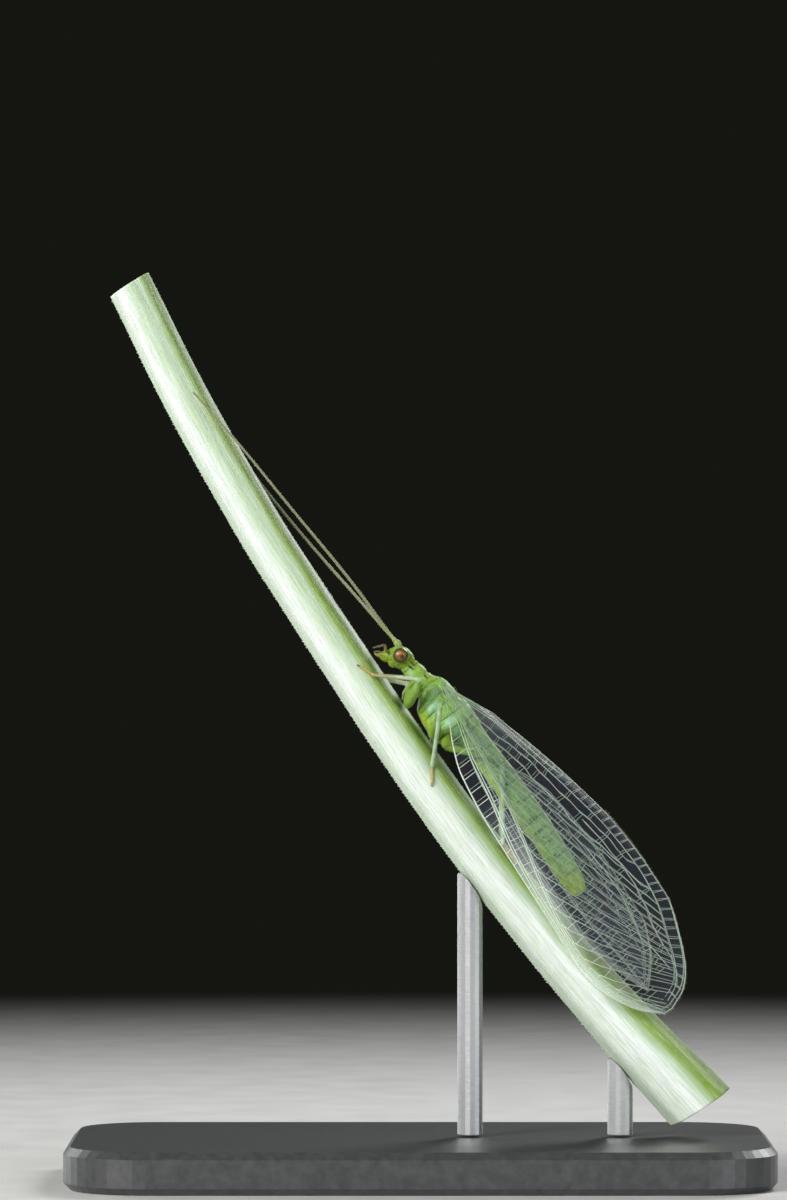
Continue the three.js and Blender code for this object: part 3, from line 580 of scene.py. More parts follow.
class Shader:
    """A short way to write a material's nodes. Its at is the place on the piece, in millimetres."""

    def __init__(self, name):
        self.material = bpy.data.materials.new(name)
        self.material.use_nodes = True
        self.tree = self.material.node_tree
        self.inputs = self.tree.nodes["Principled BSDF"].inputs
        self.at = self.scaled(self.node("TexCoord", {}, "Object"), (1 / MM, 1 / MM, 1 / MM))

    def fill(self, socket, value):
        """Link another node's output to a socket, or set the socket's own value."""
        if isinstance(value, bpy.types.NodeSocket):
            self.tree.links.new(value, socket)
        elif isinstance(value, (int, float)):
            socket.default_value = value
        else:
            socket.default_value = (*value, 1)[:len(socket.default_value)]

    def node(self, kind, inputs, output=0, **settings):
        """A new node's output. inputs gives values and links by socket name or number."""
        made = self.tree.nodes.new("ShaderNode" + kind)
        for key, value in settings.items():
            setattr(made, key, value)
        for key, value in inputs.items():
            self.fill(made.inputs[key], value)
        return made.outputs[output]

    def attribute(self, name, output="Color"):
        return self.node("Attribute", {}, output, attribute_name=name)

    def scaled(self, vector, scale):
        return self.node("Mapping", {"Vector": vector, "Scale": scale})

    def noise(self, scale, detail=3.0, roughness=0.55, vector=None):
        return self.node("TexNoise", {"Vector": vector or self.at, "Scale": scale,
                                      "Detail": detail, "Roughness": roughness}, "Fac")

    def cells(self, scale):
        return self.node("TexVoronoi", {"Vector": self.at, "Scale": scale}, "Distance")

    def ramp(self, value, stops):
        made = self.tree.nodes.new("ShaderNodeValToRGB")
        elements = made.color_ramp.elements
        while len(elements) < len(stops):
            elements.new(0.5)
        for element, (at, colour) in zip(elements, stops):
            element.position = at
            element.color = (*colour, 1)
        self.fill(made.inputs["Fac"], value)
        return made.outputs["Color"]

    def mix(self, share, first, second, blend="MIX"):
        return self.node("Mix", {0: share, 6: first, 7: second}, 2, data_type="RGBA",
                         blend_type=blend)

    def range(self, value, low, high, to_low, to_high, **settings):
        return self.node("MapRange", {0: value, 1: low, 2: high, 3: to_low, 4: to_high},
                         **settings)

    def bump(self, height, distance, strength=1.0, after=None):
        inputs = {"Height": height, "Distance": distance * MM, "Strength": strength}
        if after:
            inputs["Normal"] = after
        made = self.node("Bump", inputs)
        self.fill(self.inputs["Normal"], made)
        return made

    def finish(self, colour, grain, smoothest, roughest, **values):
        """The colour, a roughness that follows a grain, and other values for the surface."""
        self.fill(self.inputs["Base Color"], colour)
        self.fill(self.inputs["Roughness"], self.range(grain, 0.3, 0.7, smoothest, roughest))
        for key, value in values.items():
            self.inputs[key.replace("_", " ")].default_value = value
        return self.material


def skin_material():
    s = Shader("lacewing skin")
    mottle = s.noise(4.5, 4)
    fine = s.noise(26)
    clouds = s.ramp(mottle, [(0.32, (0.70, 0.78, 0.60)), (0.5, (1.0, 1.0, 1.0)),
                             (0.68, (1.22, 1.16, 1.3))])
    grains = s.ramp(fine, [(0.36, (0.84, 0.88, 0.78)), (0.6, (1.08, 1.06, 1.1))])
    varied = s.mix(1.0, s.attribute("Tint"), clouds, "MULTIPLY")
    pores = s.bump(s.cells(22), 0.006, 0.35)
    s.bump(fine, 0.008, 0.5, pores)
    return s.finish(s.mix(0.8, varied, grains, "MULTIPLY"), mottle, 0.42, 0.56,
                    Subsurface_Weight=0.2, Subsurface_Scale=0.04 * MM,
                    Subsurface_Radius=(0.7, 1.0, 0.3), Specular_IOR_Level=0.28)


def eye_material():
    s = Shader("compound eye")
    facets = s.cells(62)
    s.bump(s.range(facets, 0, 0.6, 1, 0), 0.003, 0.5)
    colour = s.mix(s.range(facets, 0.35, 0.7, 0, 0.4), s.attribute("Tint"), (0.035, 0.02, 0.006))
    return s.finish(colour, s.noise(6), 0.3, 0.42, Coat_Weight=0.15, Coat_Roughness=0.22,
                    Specular_IOR_Level=0.4)


def feeler_material():
    s = Shader("feeler")
    grain = s.noise(30)
    s.bump(grain, 0.006, 0.6)
    colour = s.mix(s.range(grain, 0.35, 0.65, 0, 0.35), s.attribute("Tint"), (0.16, 0.17, 0.09))
    return s.finish(colour, grain, 0.42, 0.6)


def vein_material():
    s = Shader("wing vein")
    grain = s.noise(14)
    s.bump(s.noise(60, 2), 0.004, 0.5)
    colour = s.mix(s.range(grain, 0.3, 0.7, 0, 0.3), s.attribute("Tint"), (0.40, 0.48, 0.44))
    return s.finish(colour, grain, 0.36, 0.5, Subsurface_Weight=0.2, Subsurface_Scale=0.05 * MM)


def membrane_material():
    """Clear film: mostly seen through, with a pale sheen and faint thin-film colours."""
    s = Shader("wing membrane")
    ripple = s.noise(6, 2)
    tinted = s.ramp(s.noise(0.9), [(0.34, (0.13, 0.21, 0.24)), (0.45, (0.15, 0.17, 0.32)),
                                   (0.52, (0.22, 0.17, 0.30)), (0.6, (0.13, 0.22, 0.24)),
                                   (0.7, (0.16, 0.20, 0.19))])
    # Film: painted sheen along the costa and a milkier base, paler and less clear where it rises.
    film = s.attribute("Film", "Fac")
    sheen = s.range(s.node("LayerWeight", {"Blend": 0.3}, "Facing"), 0, 1, 0.05, 0.13)
    s.fill(s.inputs["Alpha"], s.node("Math", {0: sheen, 1: film}, operation="ADD"))
    s.bump(ripple, 0.03, 0.3)
    colour = s.mix(s.range(film, 0, FILM_TINT, 0, 1), tinted, (0.72, 0.80, 0.72))
    return s.finish(colour, ripple, 0.24, 0.36, Specular_IOR_Level=0.5, Thin_Film_Thickness=380.0,
                    Thin_Film_IOR=1.5)


def hair_material(name, low, high):
    s = Shader(name)
    grain = s.noise(3, 2)
    return s.finish(s.mix(s.range(grain, 0.3, 0.7, 0, 1), low, high), grain, 0.42, 0.58,
                    Subsurface_Weight=0.1, Subsurface_Scale=0.02 * MM)


def tooth_material():
    s = Shader("stem teeth")
    grain = s.noise(8, 2)
    colour = s.mix(s.range(grain, 0.3, 0.7, 0, 0.4), s.attribute("Tint"), STEM_PALE)
    return s.finish(colour, grain, 0.45, 0.6, Subsurface_Weight=0.2, Subsurface_Scale=0.05 * MM)


def stem_material():
    s = Shader("plant stem")
    along = s.scaled(s.attribute("Grain", "Vector"), (0.35, 7, 1))
    streaks = s.noise(2.4, 5, 0.6, along)
    cells = s.noise(22)
    colour = s.mix(s.range(streaks, 0.46, 0.7, 0, 0.4), s.attribute("Tint"), STEM_GREEN)
    colour = s.mix(s.range(streaks, 0.3, 0.45, 0.3, 0), colour, (0.9, 0.95, 0.88))
    colour = s.mix(s.range(s.noise(1.4), 0.4, 0.7, 0, 0.15), colour, STEM_MID)
    colour = s.mix(s.range(cells, 0.62, 0.75, 0, 0.3), colour, (0.86, 0.93, 0.82))
    ridges = s.bump(streaks, 0.05, 0.6)
    s.bump(cells, 0.02, 0.5, ridges)
    return s.finish(colour, streaks, 0.42, 0.6, Subsurface_Weight=0.25,
                    Subsurface_Scale=0.25 * MM, Subsurface_Radius=(0.8, 1.0, 0.5),
                    Specular_IOR_Level=0.2)


def base_material():
    s = Shader("painted base")
    specks = s.noise(30, 2)
    s.bump(specks, 0.012, 0.5)
    colour = s.ramp(s.noise(3.2, 4), [(0.3, (0.030, 0.032, 0.033)), (0.7, (0.052, 0.054, 0.056))])
    return s.finish(colour, specks, 0.34, 0.5, Coat_Weight=0.15, Coat_Roughness=0.3)


def rod_material():
    s = Shader("brushed rod")
    brushed = s.noise(2.6, 4, vector=s.scaled(s.at, (1, 1, 14)))
    s.bump(brushed, 0.008, 0.4)
    colour = s.ramp(brushed, [(0.3, (0.46, 0.47, 0.48)), (0.7, (0.56, 0.57, 0.58))])
    return s.finish(colour, brushed, 0.36, 0.46, Metallic=1.0)


def floor_material():
    """Pale ground that thins out into the backdrop with distance."""
    s = Shader("studio floor")
    grain = s.noise(0.4)
    distance = s.node("VectorMath", {0: s.at}, "Value", operation="LENGTH")
    s.fill(s.inputs["Alpha"], s.range(distance, FLOOR_FADE_START, FLOOR_FADE_END, 1, 0,
                                      interpolation_type="SMOOTHSTEP"))
    colour = s.ramp(grain, [(0.3, (0.52, 0.52, 0.51)), (0.7, (0.56, 0.56, 0.55))])
    return s.finish(colour, grain, 0.6, 0.75)


# Body


def trunk_solid():
    rings, sides = TRUNK_GRID
    x = np.linspace(TRUNK_START, TRUNK_END, rings)
    top, under, wide = (profile(keys)(x) for keys in (TRUNK_TOP, TRUNK_UNDERSIDE, TRUNK_HALF_WIDTH))
    share = (x - ABDOMEN_START) / (TRUNK_END - ABDOMEN_START) * ABDOMEN_RINGS
    waist = 1 - np.sin(math.pi * (share % 1) ** 0.75) ** 0.4
    girth = 1 - RING_DEPTH * np.where(share > 0, waist, 0)
    turn = turns(sides)
    across, upward = (np.sign(wave) * np.abs(wave) ** 0.9 for wave in (np.sin(turn), np.cos(turn)))
    middle = (top + under) / 2
    points = np.stack([
        np.broadcast_to(x[:, None], (rings, sides)),
        np.outer(wide * girth, across),
        middle[:, None] + np.outer((top - under) / 2 * girth, upward),
    ], axis=-1).reshape(-1, 3)
    tips = [(TRUNK_START - 0.02, 0, middle[0]), (TRUNK_END + 0.05, 0, middle[-1])]
    return np.vstack([points, tips]), ring_faces(rings, sides)


def head_solid():
    rings, sides = HEAD_GRID
    path = smooth_path([(x, 0, z) for x, z in HEAD_LINE], rings)
    at = np.linspace(0, 1, len(HEAD_LINE))
    wide = taper(list(zip(at, HEAD_HALF_WIDTHS)), rings)
    high = taper(list(zip(at, HEAD_HEIGHTS)), rings)
    along = unit(np.gradient(path, axis=0))
    return loft(path, np.outer(wide, (0, 1, 0)), np.cross(along, (0, 1, 0)) * high[:, None], sides,
                [path[0] - along[0] * 0.03, path[-1] + along[-1] * 0.04])


def stem_middle(x):
    return profile(STEM_MIDDLE_Z)(x)


def stem_radius(x, angle):
    return profile(STEM_RADIUS)(x) + STEM_RIB_HEIGHT * (np.cos(STEM_RIBS * angle) - 1) / 2


def onto_stem(points, height):
    """The nearest points above the stem's surface, seen from its middle."""
    points = np.asarray(points, float)
    middle = stem_middle(points[:, 0])
    angle = np.arctan2(points[:, 1], points[:, 2] - middle)
    reach = stem_radius(points[:, 0], angle) + height
    return np.column_stack([points[:, 0], reach * np.sin(angle), middle + reach * np.cos(angle)])


def leg_solids(name):
    """(points, faces, colours, hair, lie) of each part of a leg."""
    kind, side_name = name.split("_")[1:]
    side = SIDES[side_name]
    root, coxa, knee, ankle, tip = sided(LEGS[name], side)
    made = []

    def add(part, path, radii, first, last, sides=20, lie=None):
        points, faces = sweep(path, radii, sides)
        nearest = np.argmin(np.linalg.norm(points[:, None] - path[None], axis=2), axis=1)
        made.append((points, faces, blend(first, last, nearest / (len(path) - 1)),
                     np.full(len(points), HAIR_LENGTHS.get(part, 0.0)),
                     unit(np.gradient(path, axis=0))[nearest] if lie is None
                     else np.tile(lie, (len(points), 1))))

    def bent(start, end, bow, count):
        return smooth_path([start, (start + end) / 2 + bow, end], count)

    femur = FEMUR_RADII[kind]
    thigh_root, thigh, shin, shin_end = COXA_GREEN, THORAX_GREEN, TIBIA_PALE, TIBIA_PALE
    if name == "leg_fore_left":
        shin_end = SHIN_OLIVE
    # The far fore leg is thinner, and its colour is painted light: whiter than its twin's so that it
    # looks lit where it lies in shade.
    if name == "leg_fore_right":
        femur = femur * 0.66
        thigh_root = COXA_GREEN * 0.5 + FAR_LEG_PAINTED_LIGHT * 0.5
        thigh = shin = shin_end = FAR_LEG_PAINTED_LIGHT

    coxa_radii = [(0, 0.16), (0.45, COXA_RADIUS), (0.85, COXA_RADIUS * 0.92), (1, 0.13)]
    add("coxa", bent(root, coxa, 0, 20), taper(coxa_radii, 20), COXA_GREEN, COXA_GREEN)
    femur_radii = [(0, 0.12), (0.12, femur), (0.55, femur * 0.86), (0.9, 0.085), (1, 0.09)]
    femur_bow = np.array([0, side * 0.05, 0.04])
    add("femur", bent(coxa, knee, femur_bow, 26), taper(femur_radii, 26), thigh_root, thigh)

    foot = onto_stem(bent(ankle, tip, 0, 41), TARSUS_RADIUS)
    foot = onto_stem(foot, TARSUS_RADIUS + np.linspace(1, 0, 41) ** 6 * 0.05)
    tibia_radii = [(0, 0.09), (0.1, TIBIA_RADIUS), (0.6, TIBIA_RADIUS * 0.92),
                   (0.94, TIBIA_RADIUS * 0.9), (1, 0.075)]
    tibia_bow = np.array([0, side * 0.03, 0.02])
    add("tibia", bent(knee, foot[0], tibia_bow, 34), taper(tibia_radii, 34), shin, shin_end)
    joint = np.linspace(0, 1, 41) * TARSUS_PARTS % 1
    foot_radii = TARSUS_RADIUS * (0.72 + 0.34 * np.sin(math.pi * joint ** 1.4) ** 0.6)
    add("tarsus", foot, foot_radii, TARSUS_TAN, TARSUS_TAN * 0.9)

    heading = unit(foot[-1] - foot[-4])
    across = unit(np.cross(heading, (0, 0, 1)))
    for spread in (-1, 1):
        claw = [foot[-1], foot[-1] + heading * 0.07 + across * spread * 0.035,
                foot[-1] + heading * 0.12 + across * spread * 0.06]
        claw = onto_stem(smooth_path(claw, 8), np.array(CLAW_LIFTS))
        add("claw", claw, np.linspace(0.026, 0.013, 8), CLAW_BROWN, CLAW_BROWN, 10, heading)
    return made


def trunk_colours(points):
    """Greens along the trunk, its belly and tail yellower and its back browner."""
    x, z = points[:, 0], points[:, 2]
    low = profile(TRUNK_UNDERSIDE)(x)
    depth = (z - low) / np.maximum(profile(TRUNK_TOP)(x) - low, 0.1)
    belly = 0.9 * fade(depth, 0.36, -0.36) * fade(x, 0.8, 2) + 0.9 * fade(x, 7, 1)
    back = 0.5 * fade(depth, 0.9, 0.1) * fade(x, 2.2, 1) * fade(x, 6.6, -1)
    base = blend(colours_along(TRUNK_SHADES, x), ABDOMEN_BELLY, np.minimum(belly, 1))
    return blend(base, ABDOMEN_BACK, back)


def skin_parts():
    """Every closed solid of the flesh, with its colours, hair length and the lie of its hair."""
    parts = []

    def add(solid, colours, hair):
        points, faces = solid
        parts.append((points, faces, np.broadcast_to(colours, (len(points), 3)),
                      np.full(len(points), hair), np.tile([1.0, 0, 0.35], (len(points), 1))))

    trunk = trunk_solid()
    add(trunk, trunk_colours(trunk[0]), HAIR_LENGTHS["trunk"])
    add(head_solid(), HEAD_GREEN, HAIR_LENGTHS["head"])
    for x, out, z, *radii, tip, colour in LUMPS:
        hair = HAIR_LENGTHS["back" if -1.7 < x < 1.2 and z > -0.2 else "plate"]
        for side in (-1, 1) if out > 0 else (1,):
            add(oval((x, side * out, z), radii, turn=tip), colour, hair)
    ring = np.append(turns(32), 2 * math.pi)
    for side in SIDES.values():
        rim = np.column_stack([EYE_X + EYE_RIM_RADIUS * np.cos(ring),
                               np.full_like(ring, side * (EYE_OUT - 0.05)),
                               EYE_Z + EYE_RIM_RADIUS * np.sin(ring)])
        add(sweep(rim, EYE_RIM_THICKNESS, 10, up=(0, 1, 0)), EYE_RIM_GREEN, 0.0)
        for line, radius in WING_HINGES:
            hinge = smooth_path(sided(line, side), 10)
            add(sweep(hinge, np.linspace(radius, 0.06, 10), 14), THORAX_GREEN, 0.0)
    for name in LEGS:
        parts.extend(leg_solids(name))
    return parts


def side_distance(points, line):
    """Distance from points to a line of (x, z), in the side view."""
    line = np.asarray(line, float)
    p = points[:, (0, 2)]
    nearest = np.full(len(p), 1e9)
    for a, b in zip(line[:-1], line[1:]):
        t = np.clip(((p - a) @ (b - a)) / ((b - a) @ (b - a)), 0, 1)
        nearest = np.minimum(nearest, np.linalg.norm(p - a - t[:, None] * (b - a), axis=1))
    return nearest


def oval_distance(points, centre, halves, tip):
    """How far points lie from a tipped oval's middle in the side view, squared, 1 on its edge."""
    a = math.radians(tip)
    x, z = points[:, 0] - centre[0], points[:, 2] - centre[1]
    return (((x * math.cos(a) + z * math.sin(a)) / halves[0]) ** 2
            + ((z * math.cos(a) - x * math.sin(a)) / halves[1]) ** 2)


def fuse(parts):
    """The parts as one closed skin in millimetres, and what each of its points takes from them."""
    points, faces = merged([part[:2] for part in parts])
    raw = bpy.data.meshes.new("parts")
    raw.from_pydata(points.tolist(), [], faces)
    holder = bpy.data.objects.new("parts", raw)
    bpy.context.scene.collection.objects.link(holder)
    remesh = holder.modifiers.new("fuse", "REMESH")
    remesh.mode = "VOXEL"
    remesh.voxel_size = SKIN_VOXEL
    even = holder.modifiers.new("even", "SMOOTH")
    even.factor = 0.5
    even.iterations = 3
    depsgraph = bpy.context.evaluated_depsgraph_get()
    skin = bpy.data.meshes.new_from_object(holder.evaluated_get(depsgraph))
    bpy.data.objects.remove(holder)
    at, normals = (np.empty(len(skin.vertices) * 3, np.float32) for _ in range(2))
    skin.vertices.foreach_get("co", at)
    skin.vertex_normals.foreach_get("vector", normals)
    at, normals = (values.reshape(-1, 3).astype(float) for values in (at, normals))
    tree = kdtree.KDTree(len(points))
    for i, point in enumerate(points):
        tree.insert(point, i)
    tree.balance()
    facts = np.column_stack([np.vstack([part[2] for part in parts]),
                             np.concatenate([part[3] for part in parts]),
                             np.vstack([part[4] for part in parts])])
    taken = np.empty((len(at), facts.shape[1]))
    for i, point in enumerate(at):
        near = tree.find_n(point, 4)
        weights = np.array([1 / (found[2] + 0.01) ** 2 for found in near])
        taken[i] = weights @ facts[[found[1] for found in near]] / weights.sum()
    return skin, at, normals, taken


def skin_colours(at, taken, on_trunk):
    """The parts' own colours with the thorax's fields, shaded grooves and dark marks over them."""
    x, out, z = at[:, 0], np.abs(at[:, 1]), at[:, 2]
    colours = taken[:, :3]
    uneven = 0.5 + 0.5 * np.sin(x * 9 + z * 5) * np.sin(z * 11 - x * 4)
    for centre, halves, tip, strength, colour in THORAX_FIELDS:
        away = oval_distance(at, centre, halves, tip) + 0.35 * uneven
        share = strength / (1 + np.exp((away - 1) * 5)) * (out < TRUNK_REACH)
        colours = blend(colours, colour, share)
    # Painted shade in the grooves: the colour darkened towards a deep green along each one.
    for line, width, _ in GROOVES:
        share = 0.42 * np.exp(-(side_distance(at, line) / (width * 1.3)) ** 2) * on_trunk
        colours = blend(colours, HEAD_GREEN * 0.35, share)
    marks = list(MARKS)
    for ring in range(1, ABDOMEN_RINGS):
        ring_x = ABDOMEN_START + ring * (TRUNK_END - ABDOMEN_START) / ABDOMEN_RINGS
        for behind, height, rise, *mark in RING_MARKS:
            marks.append(((ring_x + behind, height + rise * ring), *mark))
    marked = (out > 0.1) & (out < TRUNK_REACH) & (taken[:, 3] < 0.13)
    for centre, halves, tip, strength in marks:
        share = strength * np.exp(-oval_distance(at, centre, halves, tip) ** 2 * 0.7) * marked
        colours = blend(colours, MARK_DARK, share)
    return colours


def make_skin():
    """One skin over head, trunk and legs. Gives its points, normals and facts for the hairs."""
    skin, at, normals, taken = fuse(skin_parts())
    out = np.abs(at[:, 1])
    on_trunk = (out > TRUNK_FLANK[0]) & (out < TRUNK_FLANK[1])
    for line, width, depth in GROOVES:
        push = depth * np.exp(-(side_distance(at, line) / width) ** 2) * on_trunk
        at = at - normals * push[:, None]
    faces = [tuple(polygon.vertices) for polygon in skin.polygons]
    bpy.data.meshes.remove(skin)
    piece = make_piece("body_skin", at, faces, skin_colours(at, taken, on_trunk))
    dress(piece, skin_material(), "body", "head", "prothorax", "mesothorax", "metathorax",
          "abdomen", *LEGS)
    return at, normals, taken


def make_eye(name, side):
    """A brown eye with a painted highlight and a painted dark pseudo-pupil spot, greener towards its rim.
    """
    points, faces = oval((0, 0, 0), (EYE_RADIUS, EYE_RADIUS * 0.86, EYE_RADIUS), 64, 46)
    way = unit(points)
    colours = np.tile(EYE_BROWN, (len(points), 1))
    # Painted light: a highlight and a dark pseudo-pupil spot on the side that faces out.
    for middle, reach, soft, colour in EYE_PAINTED_LIGHT_SPOTS:
        colours = blend(colours, colour, fade(way @ unit(sided(middle, side)), reach, soft))
    for start, soft, colour in EYE_BANDS:
        colours = blend(colours, colour, fade(way[:, 1] * side, start, -soft))
    piece = make_piece(name, points + np.array([EYE_X, side * EYE_OUT, EYE_Z]), faces, colours)
    dress(piece, EYE, "eye", name)


def make_feeler(name, side_name):
    """Scape, pedicel and a whip of short rings, each a little swollen and bristly."""
    side = SIDES[side_name]
    count = ANTENNA_SEGMENTS * 4 + 1
    whip = smooth_path(sided(ANTENNA_PATHS[side_name], side), count)
    share = np.linspace(0, 1, count)
    ring = share * ANTENNA_SEGMENTS % 1
    thick = ANTENNA_RADIUS + (ANTENNA_TIP_RADIUS - ANTENNA_RADIUS) * share ** 0.9
    radii = thick * np.where(ring < 0.1, 0.84, 1.0 + 0.05 * np.sin(math.pi * ring))
    points, faces = merged([
        sweep(whip, radii, 10),
        sweep(smooth_path(sided(SCAPE, side), 14), taper(SCAPE_RADII, 14), 20),
        sweep(smooth_path(sided(PEDICEL, side), 10), taper(PEDICEL_RADII, 10), 18),
        oval((-2.72, side * 0.29, -0.38), (0.035, 0.035, 0.03), 12, 8),
    ])
    colours = blend(ANTENNA_KHAKI, FACE_PALE, fade(points[:, 0], -3.6, 0.8))
    dress(make_piece(name, points, faces, colours), FEELER, "feeler", name)
    make_feeler_hairs(name, whip, thick)


def make_palps(name, side):
    """The dark jointed palps beside the mouth: a long one and a short one."""
    parts = []
    for line, joints, radius in PALPS:
        share = np.linspace(0, 1, joints * 8 + 1)
        swell = 0.82 + 0.18 * np.sin(math.pi * (share * joints % 1)) ** 0.6
        path = smooth_path(sided(line, side), joints * 8 + 1)
        parts.append(sweep(path, radius * swell * (1 - 0.45 * share ** 2), 14))
    points, faces = merged(parts)
    colours = blend(PALP_DARK, MOUTH_TAN, fade(points[:, 0], -2.86, 0.16))
    dress(make_piece(name, points, faces, colours), FEELER, "feeler", name)


# Wings


RIDGE, FOOT, HALF_WIDTH, ROUNDNESS, THICKNESS = (
    profile(keys) for keys in (ROOF_RIDGE, ROOF_FOOT, ROOF_HALF_WIDTH, ROOF_ROUNDNESS,
                               RIDGE_THICKNESS))


class Wing:
    """The surface that one wing lies on, and its lines in the side view."""

    def __init__(self, kind, side):
        self.side = side
        self.facts = WINGS[kind]
        self.start, self.end, self.inset = (self.facts[key] for key in ("start", "end", "inset"))
        self.upper, self.lower, self.subcosta, self.sector, self.rim = (
            profile(self.facts[key]) for key in ("upper", "lower", "subcosta", "sector", "rim"))

    def roof(self, x, bend, inset):
        """The roof's point at x, turned by bend from the ridge, an inset below its surface."""
        power = 2 / ROUNDNESS(x)
        drop = inset * (THICKNESS(x) / MEMBRANE_ROOM)
        rise = RIDGE(x) - drop - FOOT(x)
        out = RIDGE_HALF_GAP + (HALF_WIDTH(x) - inset) * np.maximum(0, np.sin(bend)) ** power
        z = FOOT(x) + rise * np.maximum(0, np.cos(bend)) ** power
        near = fade(x, self.start + HINGE_REACH, -HINGE_REACH)
        drawn = near ** 2 * (3 - 2 * near)
        hinge_out, hinge_z = self.facts["hinge"]
        out = out + (hinge_out - out) * drawn
        z = z + (hinge_z - z) * drawn ** 2 * 0.8
        return np.stack([x, self.side * out, z], axis=-1)

    def bend_at(self, x, z):
        drop = self.inset * (THICKNESS(x) / MEMBRANE_ROOM)
        height = (z - FOOT(x)) / (RIDGE(x) - drop - FOOT(x))
        return np.arccos(np.clip(height, 0, 1) ** (ROUNDNESS(x) / 2))

    def grid(self, s, chord):
        """A point by its share of the span and of the chord, from the ridge down."""
        lean = self.facts["lean"] * np.sin(math.pi * s) * ((1 - chord) ** 2 - chord / 3)
        along = 1 - (1 - s) ** TIP_CROWDING
        x = self.start + (self.end - self.start) * along + lean
        top = self.bend_at(x, self.upper(x))
        foot = self.bend_at(x, self.lower(x))
        return self.roof(x, top + (foot - top) * chord, self.inset)

    def at(self, x, z, lift):
        """The point that lies at (x, z) in the side view, lifted off the wing."""
        return self.roof(x, self.bend_at(x, z), self.inset - lift)


def inward(line, distance):
    """A line (x, z) moved below itself by a distance at each of its points."""
    way = unit(np.gradient(line, axis=0))
    return line + np.column_stack([way[:, 1], -way[:, 0]]) * distance[:, None]


def zigzag(line, rng, height=0.022, step=0.45):
    """The line with the small steps that a vein takes where crossveins meet it."""
    reach = reach_along(line)
    count = max(3, int(reach[-1] / step))
    at = np.linspace(0, reach[-1], count)
    joints = np.column_stack([np.interp(at, reach, line[:, i]) for i in (0, 1)])
    joints[1:-1, 1] += np.array([height * (1 if i % 2 else -1) * rng.uniform(0.5, 1.3)
                                 for i in range(count - 2)])
    return joints


def height_on(line, x):
    return np.interp(x, line[:, 0], line[:, 1])


